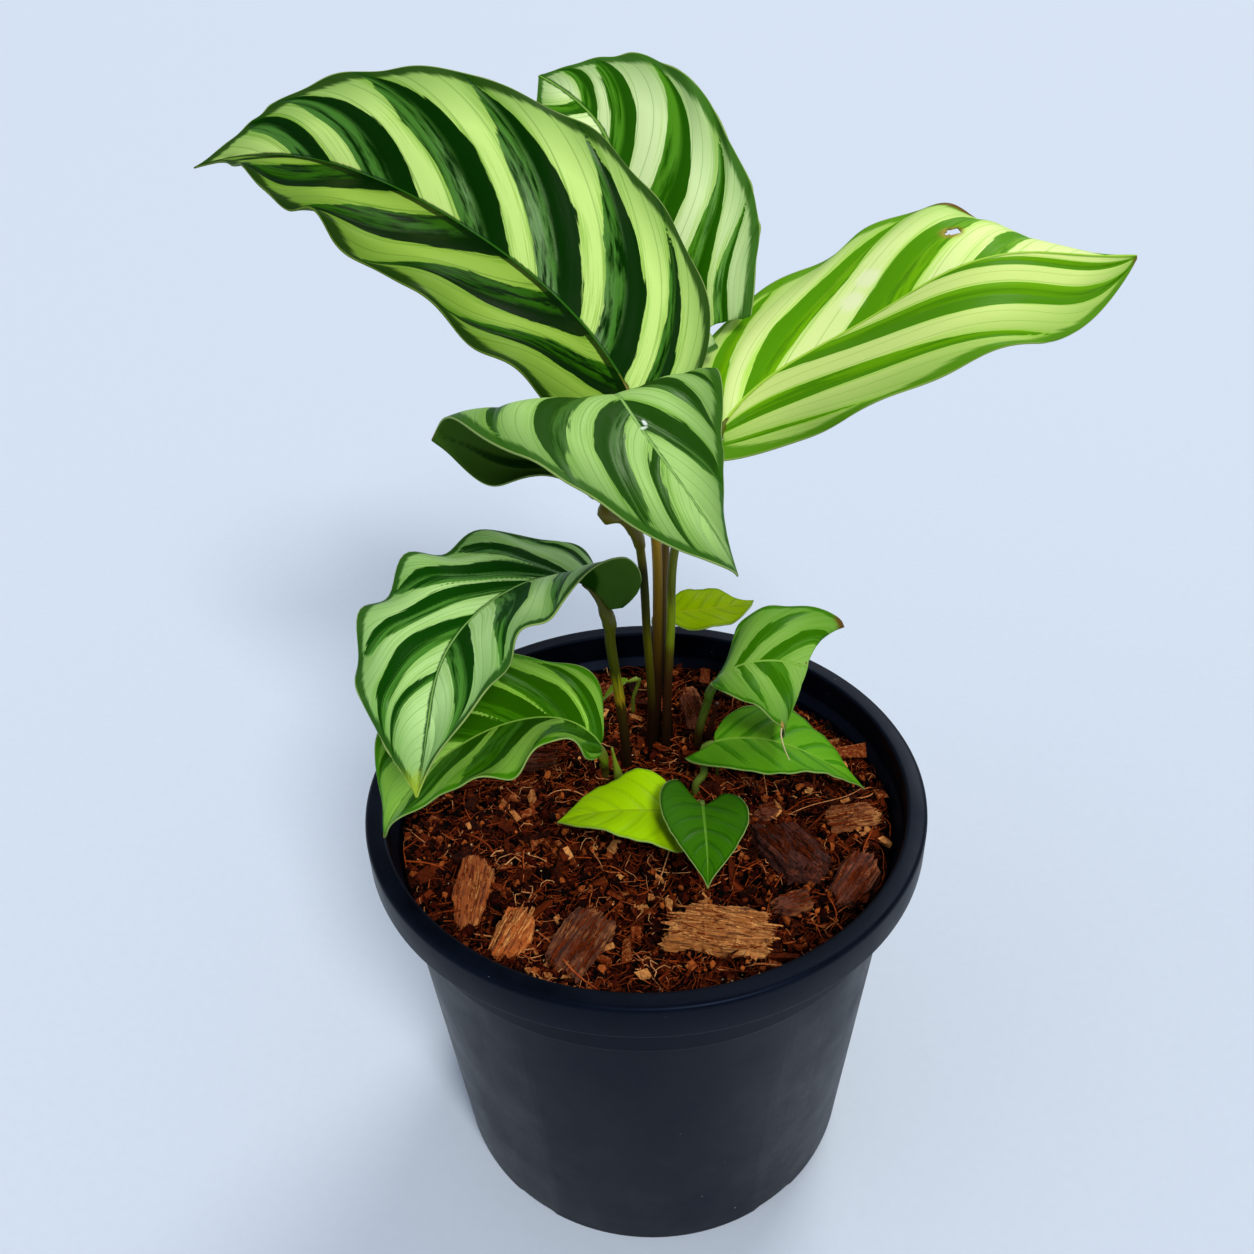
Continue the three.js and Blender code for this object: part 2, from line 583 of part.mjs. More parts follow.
// The mix fills the pot to just under the rim band
function soilSolid() {
  const random = draws(SOIL_SEED);
  const scatter = (spread) => spread * (random() - 0.5);
  const points = [new THREE.Vector3(0, 0, soilHeight(0, 0))];
  const lip = COLLAR_RADIUS - WALL - GAP - FACET_ROOM;
  for (let ring = 1; ring <= SOIL_RINGS; ring += 1) {
    const inside = ring < SOIL_RINGS;
    for (let spoke = 0; spoke < SOIL_SPOKES; spoke += 1) {
      const angle = (2 * Math.PI * (spoke + (inside ? scatter(SPOKE_SCATTER) : 0))) / SOIL_SPOKES;
      const radius = (lip * (ring + (inside ? scatter(RING_SCATTER) : 0))) / SOIL_RINGS;
      const x = radius * Math.cos(angle);
      const y = radius * Math.sin(angle);
      const crumb = inside ? CRUMB_HEIGHT * (random() - CRUMB_SINK) : -EDGE_DROP;
      points.push(new THREE.Vector3(x, y, soilHeight(x, y) + crumb));
    }
  }
  const sides = INNER_WALL.slice(0, 3).toReversed();
  sides.forEach(([radius, z], i) => {
    const low = i === sides.length - 1;
    for (let spoke = 0; spoke < SOIL_SPOKES; spoke += 1) {
      const angle = (2 * Math.PI * spoke) / SOIL_SPOKES;
      const reach = radius - GAP - FACET_ROOM;
      const height = z + (low ? GAP : 0);
      points.push(new THREE.Vector3(reach * Math.cos(angle), reach * Math.sin(angle), height));
    }
  });
  points.push(new THREE.Vector3(0, 0, FLOOR + GAP));
  const rings = SOIL_RINGS + sides.length;
  const at = (ring, spoke) => 1 + (ring - 1) * SOIL_SPOKES + (spoke % SOIL_SPOKES);
  const faces = [];
  for (let spoke = 0; spoke < SOIL_SPOKES; spoke += 1) {
    faces.push([0, at(1, spoke), at(1, spoke + 1)]);
    faces.push([points.length - 1, at(rings, spoke + 1), at(rings, spoke)]);
    for (let ring = 1; ring < rings; ring += 1) {
      const [a, b] = [at(ring, spoke), at(ring + 1, spoke)];
      const [c, d] = [at(ring + 1, spoke + 1), at(ring, spoke + 1)];
      faces.push([a, b, c], [a, c, d]);
    }
  }
  return toSolid(closedGeometry(points, faces));
}

// An uneven slab of husk, made larger all round where its bed is cut from the mix
function chipSolid(chip, seed, room = 0) {
  const random = draws(seed);
  const [length, width] = chip.size;
  const outline = [];
  for (let k = 0; k < CHIP_CORNERS; k += 1) {
    const angle = (2 * Math.PI * (k + CHIP_CORNER_SCATTER * (random() - 0.5))) / CHIP_CORNERS;
    const reach = (CHIP_LEAST_REACH + CHIP_REACH_SPREAD * random()) / 2;
    outline.push(new THREE.Vector2(length * reach * Math.cos(angle), width * reach * Math.sin(angle)));
  }
  const depth = chip.thick - 2 * CHIP_BEVEL;
  const slab = new THREE.ExtrudeGeometry(new THREE.Shape(outline), {
    depth,
    bevelThickness: CHIP_BEVEL,
    bevelSize: CHIP_BEVEL,
    bevelOffset: -CHIP_BEVEL,
    bevelSegments: 1,
  });
  slab.translate(0, 0, -depth / 2);
  const grown = (size) => 1 + (2 * room) / size;
  slab.scale(grown(CHIP_FULLNESS * length), grown(CHIP_FULLNESS * width), grown(chip.thick));
  slab.rotateX(radians(chip.tilt[0]));
  slab.rotateY(radians(chip.tilt[1]));
  slab.rotateZ(radians(chip.turn));
  const [x, y] = chip.at;
  slab.translate(x, y, soilHeight(x, y) + chip.proud - chip.thick / 2);
  return slab;
}

// Pot and plant
addMesh('pot', toGeometry(potSolid()), POT_BLACK, ROUGHNESS.pot);

let soil = soilSolid();

for (const [name, leaf] of Object.entries(LEAVES)) {
  const places = midribPlaces(leaf);
  const { points, radiusAt } = leafStem(leaf, places);
  const stemColour = leaf.grid === 'large' ? OLIVE : STEM_GREEN;
  addMesh(`leaf_${name}`, bladeSolid(leaf, places), leaf.colour, ROUGHNESS.leaf);
  addMesh(`stem_${name}`, stemSolid(points, radiusAt), stemColour, ROUGHNESS.stem);
  soil = soil.subtract(toSolid(stemSolid(points, radiusAt, HOLE_ROOM)));
}

for (const [name, shoot] of Object.entries(SHOOTS)) {
  const { points, radiusAt } = shootStem(shoot);
  addMesh(name, stemSolid(points, radiusAt), shoot.colour, ROUGHNESS.shoot);
  soil = soil.subtract(toSolid(stemSolid(points, radiusAt, HOLE_ROOM)));
}

Object.entries(CHIPS).forEach(([name, chip], i) => {
  const seed = FIRST_CHIP_SEED + i;
  addMesh(name, chipSolid(chip, seed), chip.colour, ROUGHNESS.chip);
  soil = soil.subtract(toSolid(chipSolid(chip, seed, BED_ROOM)));
});

addMesh('soil', toGeometry(soil), MIX_BROWN, ROUGHNESS.mix);

export default plant;
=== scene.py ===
# %% [markdown]
# This lesson dresses a potted calathea freddie, a prayer plant with pale leaves and dark bands.
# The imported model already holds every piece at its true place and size, as plain solids. Here
# each solid gets a finer body that keeps its form, and each body gets the finish of the real
# thing. Everything is in metres, with the pot's axis on Z and the plant's front towards -Y.
# %% Load the frame
import math
import random
from functools import partial
from types import SimpleNamespace

import bmesh
import bpy
from mathutils import Euler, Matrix, Quaternion, Vector, noise


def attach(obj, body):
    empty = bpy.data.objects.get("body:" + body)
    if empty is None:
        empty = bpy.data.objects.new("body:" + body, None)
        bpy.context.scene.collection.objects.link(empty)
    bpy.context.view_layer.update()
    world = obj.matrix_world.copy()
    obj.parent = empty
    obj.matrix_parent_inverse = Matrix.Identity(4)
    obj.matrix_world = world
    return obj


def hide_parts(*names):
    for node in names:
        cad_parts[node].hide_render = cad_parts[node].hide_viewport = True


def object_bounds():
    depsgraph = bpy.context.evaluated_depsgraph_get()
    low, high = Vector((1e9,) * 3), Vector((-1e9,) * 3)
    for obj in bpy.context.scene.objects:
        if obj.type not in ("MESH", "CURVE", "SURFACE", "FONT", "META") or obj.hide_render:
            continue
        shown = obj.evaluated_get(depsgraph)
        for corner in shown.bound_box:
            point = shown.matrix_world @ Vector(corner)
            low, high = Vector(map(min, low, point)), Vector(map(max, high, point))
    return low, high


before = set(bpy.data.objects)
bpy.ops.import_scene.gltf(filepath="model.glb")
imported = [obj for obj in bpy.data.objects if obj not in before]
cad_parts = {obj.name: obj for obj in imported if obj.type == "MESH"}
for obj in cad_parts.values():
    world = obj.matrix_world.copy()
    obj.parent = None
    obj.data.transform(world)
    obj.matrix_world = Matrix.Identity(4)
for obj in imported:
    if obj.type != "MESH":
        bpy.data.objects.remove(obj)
cad_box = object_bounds()
MM = 0.001
print("nodes in the frame:", len(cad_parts))

# %% [markdown]
# Every finish is a small graph of nodes. One helper turns a colour, written as an sRGB hex value,
# into the linear numbers that a shader wants. One adds a node together with its settings, values
# and links, and gives back the one output that the next node reads. A Map Range takes, in order,
# its value, the range that this comes from and the range that it goes to. A Mix of colours has
# them at its sockets 6 and 7, after those of its other kinds.
# %% Colours and nodes
RGBA = {"data_type": "RGBA"}
SMOOTH = {"interpolation_type": "SMOOTHSTEP"}


def linear(code):
    """Linear colour with alpha from an sRGB hex value."""
    channels = [int(code[i:i + 2], 16) / 255 for i in (1, 3, 5)]
    return [c / 12.92 if c <= 0.04045 else ((c + 0.055) / 1.055) ** 2.4 for c in channels] + [1]


def add_node(tree, kind, inputs=(), output=None, **settings):
    """Adds a node and returns the output that is named, or else the first one in use.

    Inputs come in order, or by name or number. A socket given another node's output is linked, a
    hex value becomes a linear colour, and any other value is set.
    """
    new = tree.nodes.new("ShaderNode" + kind)
    for key, value in settings.items():
        setattr(new, key, value)
    for key, value in inputs.items() if isinstance(inputs, dict) else enumerate(inputs):
        if isinstance(value, bpy.types.NodeSocket):
            tree.links.new(value, new.inputs[key])
        else:
            new.inputs[key].default_value = linear(value) if isinstance(value, str) else value
    return new.outputs[output] if output else next((o for o in new.outputs if o.enabled), None)


def start_material(name):
    """Returns a material with an empty graph and the helper that adds nodes to that graph."""
    material = bpy.data.materials.new(name)
    material.use_nodes = True
    material.node_tree.nodes.clear()
    return material, partial(add_node, material.node_tree)


print("middle grey in linear light:", round(linear("#808080")[0], 3))

# %% [markdown]
# A finished mesh becomes an object at the origin, because its place is in its vertices. The same
# helper says which body it rides on, which solid it stands for and whose finish it takes.
# %% Hand a mesh over to the frame


def finish_piece(name, bm, materials, stands_for=(), smooth=True):
    mesh = bpy.data.meshes.new(name)
    for face in bm.faces:
        face.smooth = smooth
    bm.to_mesh(mesh)
    bm.free()
    piece = bpy.data.objects.new(name, mesh)
    bpy.context.scene.collection.objects.link(piece)
    for material in materials:
        mesh.materials.append(material)
    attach(piece, "root")
    if stands_for:
        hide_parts(*stands_for)
    return piece


# %% [markdown]
# The picture is taken from in front, looking down about 35 degrees, from less than half a metre
# away, so near leaves look larger. The camera's place and aim are real sizes in the pot's frame.
# Its lens is as long as its sensor is wide, which gives the angle of view of about 53 degrees.
# %% Camera
CAMERA_PLACE = Vector((-3.7, -279.6, 385.4)) * MM
CAMERA_TARGET = Vector((-3.7, 0, 190.5)) * MM
CAMERA_ROLL = math.radians(-1.95)
camera_data = bpy.data.cameras.new("camera")
camera_data.sensor_width = 36
camera_data.lens = 36
camera_data.clip_start = 0.01
camera = bpy.data.objects.new("camera", camera_data)
aim = (CAMERA_TARGET - CAMERA_PLACE).to_track_quat("-Z", "Y")
camera.location = CAMERA_PLACE
camera.rotation_euler = (aim @ Quaternion((0, 0, 1), CAMERA_ROLL)).to_euler()
bpy.context.scene.collection.objects.link(camera)
bpy.context.scene.camera = camera
print("camera to pot axis in mm:", round(abs(CAMERA_PLACE.y) / MM))

# %% [markdown]
# A plain pale floor and broad, soft light suit a plant. The main light falls from in front on the
# right. A second one comes from high behind and brightens the leaves that face up, a faint cool
# one comes from the left, and a pale sky fills the shadows. The plain display transform keeps the
# greens vivid. Each light falls from the direction that its row gives, and its spread in degrees
# is how broad it looks.
# %% Floor and light
FLOOR_HALF = 6.0
BOARD_GRAIN = 10 / 3 * MM
LIGHTS = {
    "main_light": {"from": (0.3, -0.75, 0.85), "spread": 16, "power": 2.2, "colour": "#fffaf2"},
    "back_light": {"from": (0.45, 0.8, 0.9), "spread": 24, "power": 1.4, "colour": "#fffbf0"},
    "left_light": {"from": (-0.9, -0.2, 0.8), "spread": 50, "power": 0.25, "colour": "#eef4ff"},
}
SKY = "#dfe9f6"
SKY_STRENGTH = 0.49
FLOOR_PALE = "#bfcbdc"
FLOOR_PALER = "#c4d0e1"
bpy.context.scene.view_settings.view_transform = "Standard"

floor_bm = bmesh.new()
bmesh.ops.create_grid(floor_bm, x_segments=1, y_segments=1, size=FLOOR_HALF)
floor_mesh = bpy.data.meshes.new("floor")
floor_bm.to_mesh(floor_mesh)
floor_bm.free()
floor = bpy.data.objects.new("floor", floor_mesh)
bpy.context.scene.collection.objects.link(floor)

painted_board, add = start_material("painted board, matt")
place = add("TexCoord", output="Object")
grain = add("TexNoise", {"Vector": place, "Scale": 1 / BOARD_GRAIN, "Detail": 3})
tone = add("Mix", {"Factor": grain, 6: FLOOR_PALE, 7: FLOOR_PALER}, **RGBA)
board = add("BsdfPrincipled", {"Base Color": tone, "Roughness": 0.9})
add("OutputMaterial", [board])
floor_mesh.materials.append(painted_board)

for name, made in LIGHTS.items():
    light = bpy.data.lights.new(name, "SUN")
    light.angle = math.radians(made["spread"])
    light.energy = made["power"]
    light.color = linear(made["colour"])[:3]
    lamp = bpy.data.objects.new(name, light)
    lamp.rotation_euler = Vector(made["from"]).to_track_quat("Z", "Y").to_euler()
    bpy.context.scene.collection.objects.link(lamp)

world = bpy.data.worlds.new("pale sky")
world.use_nodes = True
world.node_tree.nodes["Background"].inputs["Color"].default_value = linear(SKY)
world.node_tree.nodes["Background"].inputs["Strength"].default_value = SKY_STRENGTH
bpy.context.scene.world = world
print("lights:", ", ".join(LIGHTS))

# %% [markdown]
# The pot is a common injection-moulded nursery pot with a rim band 165 mm across. A profile from
# the middle of its underside round to the middle of its floor is spun once about the axis. The
# corners of the profile are eased first, because a mould never leaves a knife edge.
# %% The pot's profile
POT_HEIGHT = 134
BASE_RADIUS = 65
WALL = 1.5
FLOOR = 3
NECK_RADIUS = 74
NECK_HEIGHT = 107
COLLAR_RADIUS = 75.6
COLLAR_EASE = 1.5
RIM_RADIUS = 82.5
MOUTH_RADIUS = 76.6
RIM_DEPTH = 11
RIM_FOOT = POT_HEIGHT - RIM_DEPTH
EASE_STEPS = 4


def eased(corners):
    """Outline whose inner corners are each replaced by a short curve of the radius given with it."""
    outline = [Vector(corners[0][:2])]
    for (before, (x, z, reach), after) in zip(corners, corners[1:], corners[2:]):
        corner = Vector((x, z))
        start = corner + (Vector(before[:2]) - corner).normalized() * reach
        end = corner + (Vector(after[:2]) - corner).normalized() * reach
        for i in range(EASE_STEPS + 1):
            f = i / EASE_STEPS
            outline.append(start.lerp(corner, f).lerp(corner.lerp(end, f), f))
    return outline + [Vector(corners[-1][:2])]


POT_CORNERS = [
    (0, 0, 0), (BASE_RADIUS - 9, 0, 0.3), (BASE_RADIUS, 0, 0.9),
    (NECK_RADIUS, NECK_HEIGHT, 0.4), (COLLAR_RADIUS, NECK_HEIGHT + COLLAR_EASE, 0.4),
    (COLLAR_RADIUS, RIM_FOOT, 0.5), (RIM_RADIUS, RIM_FOOT, 0.8),
    (RIM_RADIUS, POT_HEIGHT, 1.6), (MOUTH_RADIUS, POT_HEIGHT, 1.2),
    (MOUTH_RADIUS, RIM_FOOT + COLLAR_EASE, 0.6),
    (COLLAR_RADIUS - WALL, RIM_FOOT - COLLAR_EASE, 0.6),
    (NECK_RADIUS - WALL, NECK_HEIGHT, 0.6), (BASE_RADIUS - WALL, FLOOR, 1.1), (0, FLOOR, 0),
]
pot_outline = eased(POT_CORNERS)
print("points in the pot's profile:", len(pot_outline))

# %% [markdown]
# Real pots stand on a base whose edge has shallow gaps, so that water can run out from under it.
# The vertices of the base that lie within such a gap are lifted, which is cleaner than a cut.
# %% Spin the pot
POT_STEPS = 180
SEAM = 0.01
DRAIN_COUNT = 5
DRAIN_WIDTH = 14
DRAIN_HEIGHT = 1.6
DRAIN_DEPTH = 7
DRAIN_START = -127


def spin_pot():
    bm = bmesh.new()
    ring = [bm.verts.new((p.x * MM, 0, p.y * MM)) for p in pot_outline]
    edges = [bm.edges.new(pair) for pair in zip(ring, ring[1:])]
    bmesh.ops.spin(
        bm, geom=ring + edges, axis=(0, 0, 1), cent=(0, 0, 0), angle=math.tau,
        steps=POT_STEPS, use_merge=True, use_duplicate=False,
    )
    bmesh.ops.remove_doubles(bm, verts=bm.verts, dist=SEAM * MM)
    bmesh.ops.recalc_face_normals(bm, faces=bm.faces)
    for vert in bm.verts:
        radius = math.hypot(vert.co.x, vert.co.y) / MM
        if vert.co.z > DRAIN_HEIGHT * MM or radius < BASE_RADIUS - DRAIN_DEPTH:
            continue
        angle = math.degrees(math.atan2(vert.co.y, vert.co.x)) - DRAIN_START
        off_centre = (angle + 180 / DRAIN_COUNT) % (360 / DRAIN_COUNT) - 180 / DRAIN_COUNT
        if abs(math.radians(off_centre)) * radius < DRAIN_WIDTH / 2:
            vert.co.z = DRAIN_HEIGHT * MM
    return bm


pot_bm = spin_pot()
print("faces in the pot:", len(pot_bm.faces))

# %% [markdown]
# The pot is black polypropylene, moulded with a fine satin texture. Light skims off it in a soft
# blue-grey sheen, the fine texture breaks that sheen up, and pale specks of dust and dried water
# lie on it. The specks are drawn about half a millimetre wide, coarser than most real ones, so
# that they show.
# %% Pot finish
SATIN_GRAIN = 0.35 * MM
SPECK_SPACING = 5.5 * MM
SMEAR_SIZE = 24 * MM

moulded_plastic, add = start_material("black polypropylene, satin moulded")
place = add("TexCoord", output="Object")
satin = add("TexNoise", {"Vector": place, "Scale": 1 / SATIN_GRAIN, "Detail": 2})
smear = add("TexNoise", {
    "Vector": place, "Scale": 1 / SMEAR_SIZE, "Detail": 5, "Roughness": 0.65,
})
speck_distance = add("TexVoronoi", {"Vector": place, "Scale": 1 / SPECK_SPACING})
speck_size = add("MapRange", (smear, 0.45, 0.75, 0, 0.085))
speck = add("Math", (speck_distance, speck_size), operation="LESS_THAN")
filmed = add("MapRange", (smear, 0.35, 0.8, 0, 0.75))
film = add("Mix", {"Factor": filmed, 6: "#010206", 7: "#0a101e"}, **RGBA)
dusty = add("Mix", {"Factor": speck, 6: film, 7: "#6d7076"}, **RGBA)
sheen = add("MapRange", (smear, 0.3, 0.7, 0.34, 0.5))
texture = add("Bump", {"Height": satin, "Strength": 0.25, "Distance": 0.05 * MM})
plastic = add("BsdfPrincipled", {
    "Base Color": dusty, "Roughness": sheen, "Normal": texture, "IOR": 1.49,
    "Specular IOR Level": 0.12, "Specular Tint": "#a0beff",
})
add("OutputMaterial", [plastic])
finish_piece("nursery_pot", pot_bm, [moulded_plastic], ("pot",))
print("pot material:", moulded_plastic.name)

# %% [markdown]
# Every leaf of this plant is one thin blade that grows from its base along a midrib, so one
# formula with a few values serves all twelve. Heading is the compass direction in plan, from +X
# towards +Y, and pitch is the climb, both in degrees at even steps from the base to the tip, with
# the roll about the midrib. Fold lifts one half about the midrib, lobe draws its base corner back,
# and wave is the ripple of its margin: the number of waves, their height and their phase. Where a
# value is given for each half, the left one comes first. Crimp is how deeply the margin is
# crinkled, slender thins the tip and calm is where the margin lies flat again. Some leaves have
# one narrower half, a small spur on the margin, a tip in two points or a worn hole.
# %% The leaves' courses
LEAVES = {
    "upper_left": dict(
        base=(0.5, 32.5, 241), length=164, width=88, widest=0.29,
        heading=(138, 152, 153, 146, 167), pitch=(55, 34, 20, -1, -16), roll=(1, -2, 6),
        fold=((11, 3, 0), (14, 47, 67)), lobe=(11, 11), wave=((5, -2.5, 0), (4.5, 1, -95)),
        crimp=0.9, slender=0.45, calm=0.74,
    ),
    "upper_back": dict(
        base=(24, 66, 248), length=115, width=77, widest=0.36,
        heading=(155, 119, 103, 121, 128), pitch=(11, 39, 43, 20, 8), roll=(-21, -19, -32),
        fold=((13, 8, 0), (24, 14, 14)), lobe=(9, 13), wave=((3, 1.5, 0), (1.5, 3.5, 60)),
    ),
    "upper_right": dict(
        base=(24.5, 41, 228.5), length=140, width=74, widest=0.45,
        heading=(56, 7, 1, 15, 25), pitch=(27, 27, 31, -8, -8), roll=(18, 14, 16),
        fold=((1, 0, -31), (0, -1, -53)), lobe=(12, 13), wave=((2, 0.5, 0), (2, 0.5, 90)),
        holes=((0.605, 0.46, 0.016, 0.07),),
    ),
    "arched_front": dict(
        base=(-8.5, 3, 226.5), length=101, width=83, widest=0.39,
        heading=(-122, -89, -73, -45, -25), pitch=(138, 67, -4, -39, -63), roll=(67, 11, -22),
        fold=((32, -16, -8, -1, 4), (-8, 10, 18, 6, 2)), lobe=(2, 2),
        wave=((3, 1, 0), (3, 2.5, 70)), left_share=0.62, crimp=0.3, right_spur=(0.35, 4),
    ),
    "arched_left": dict(
        base=(-8.5, 8, 190), length=97, width=65, widest=0.35,
        heading=(160, 201, 229, 261, 257), pitch=(70, 1, -20, -35, -38), roll=(1, 0, 1),
        fold=((79, 26, 23, 32, 57), (-15, 6, 10)), lobe=(0, 3),
        wave=((2.5, 1.5, 0), (6.5, 3, 140)), left_spur=(0.12, 2.5),
    ),
    "low_left": dict(
        base=(-12, -7, 154), length=80, width=54, widest=0.39,
        heading=(165, 187, 198, 209, 206), pitch=(64, 8, -19, -37, -67), roll=(20, 7, 4),
        fold=((-6, 9, 4, 23, 18), (27, 28, 21)), lobe=(1, -2),
        wave=((3, -2.5, 20), (3, -4.5, 165)),
    ),
    "back_small": dict(
        base=(8, 54.5, 157.5), length=32, width=20, widest=0.42,
        heading=(-6, 14, 37), pitch=(5, -3, -11), roll=(11, 8, -7),
        fold=((7, 8, 0), (3, 2, 4)), lobe=(0, 0), wave=((2, 1, -40), (2.5, 1, 55)),
        crimp=0.3,
    ),
    "split_right": dict(
        base=(21, 16.5, 157.5), length=32, width=41, widest=0.54,
        heading=(-7, 4, 9), pitch=(56, 4, -35), roll=(-21, 10, 37),
        fold=((-5, 0, -6), (5, -5, -23)), lobe=(0, 0), wave=((2.5, 0, 0), (2.5, 0.5, 95)),
        split_width=1, split_reach=13.5,
    ),
    "low_right": dict(
        base=(20.5, 10, 140), length=51, width=34, widest=0.39,
        heading=(-4, -11, -17), pitch=(20, -20, -40), roll=(5, -5, -25),
        fold=((0, 6, 4), (-2, 8, 17)), lobe=(0, 12), wave=((3, 0.5, 0), (2, 1, 10)),
        crimp=0.4,
    ),
    "front_young": dict(
        base=(12.5, -12, 132.5), length=40, width=36, widest=0.36,
        heading=(204, 188, 189), pitch=(27, 8, -15), roll=(-20, 7, 15),
        fold=((0, 7, 6), (2, 1, 1)), lobe=(0, -1), wave=((3, 0.5, 30), (2.5, 0.5, 150)),
        crimp=0.25,
    ),
    "front_heart": dict(
        base=(16, -17, 140), length=30, width=27, widest=0.23,
        heading=(-91, -90, -95), pitch=(9, -4, -27), roll=(-9, -6, -3),
        fold=((4, 9, 14), (9, 12, 16)), lobe=(10, 14), wave=((2.5, 0.5, 20), (2.5, 0, 90)),
        crimp=0.3,
    ),
    "sprout": dict(
        base=(-3.3, 42, 140.5), length=13, width=5.5, widest=0.35,
        heading=(190, 182, 180), pitch=(-20, -45, -50), roll=(0, 0, 0),
        fold=((25, 25, 20), (25, 25, 20)), lobe=(0, 0), wave=((1, 0, 0), (1, 0, 0)),
    ),
}
LEFT, RIGHT = 0, 1
print("leaves:", len(LEAVES))

# %% [markdown]
# A smooth curve through evenly spaced values gives heading, pitch, roll and fold anywhere along
# the midrib. The midrib's places are then added up in short steps, as a surveyor would walk them.
# %% Walk along a midrib
MIDRIB_STEPS = 240


def between(values, t):
    """Smooth curve through values that are evenly spaced from 0 to 1."""
    last = len(values) - 1
    place = min(max(t, 0), 1) * last
    i = min(int(place), last - 1)
    before = values[i - 1] if i > 0 else 2 * values[i] - values[i + 1]
    after = values[i + 2] if i < last - 1 else 2 * values[i + 1] - values[i]
    f = place - i
    slope = values[i + 1] - before
    bend = 2 * before - 5 * values[i] + 4 * values[i + 1] - after
    twist = 3 * values[i] - before - 3 * values[i + 1] + after
    return 0.5 * (2 * values[i] + f * (slope + f * (bend + f * twist)))


def midrib_axes(leaf, t):
    """Direction of the midrib at t, the blade's left and its upper side."""
    heading = math.radians(between(leaf["heading"], t))
    pitch = math.radians(between(leaf["pitch"], t))
    roll = math.radians(between(leaf["roll"], t))
    flat = Vector((math.cos(heading), math.sin(heading), 0))
    upright = Vector((0, 0, 1))
    along = flat * math.cos(pitch) + upright * math.sin(pitch)
    level = Vector((-math.sin(heading), math.cos(heading), 0))
    raised = upright * math.cos(pitch) - flat * math.sin(pitch)
    left = level * math.cos(roll) + raised * math.sin(roll)
    up = raised * math.cos(roll) - level * math.sin(roll)
    return along, left, up


def midrib_places(leaf):
    places = [Vector(leaf["base"])]
    step = leaf["length"] / MIDRIB_STEPS
    for i in range(MIDRIB_STEPS):
        along = midrib_axes(leaf, (i + 0.5) / MIDRIB_STEPS)[0]
        places.append(places[-1] + along * step)
    return places


def midrib_place(places, t):
    step = t * MIDRIB_STEPS
    i = min(int(step), MIDRIB_STEPS - 1)
    return places[i].lerp(places[i + 1], step - i)


tips = {name: midrib_places(leaf)[-1] for name, leaf in LEAVES.items()}
print("highest tip in mm:", round(max(tip.z for tip in tips.values())))

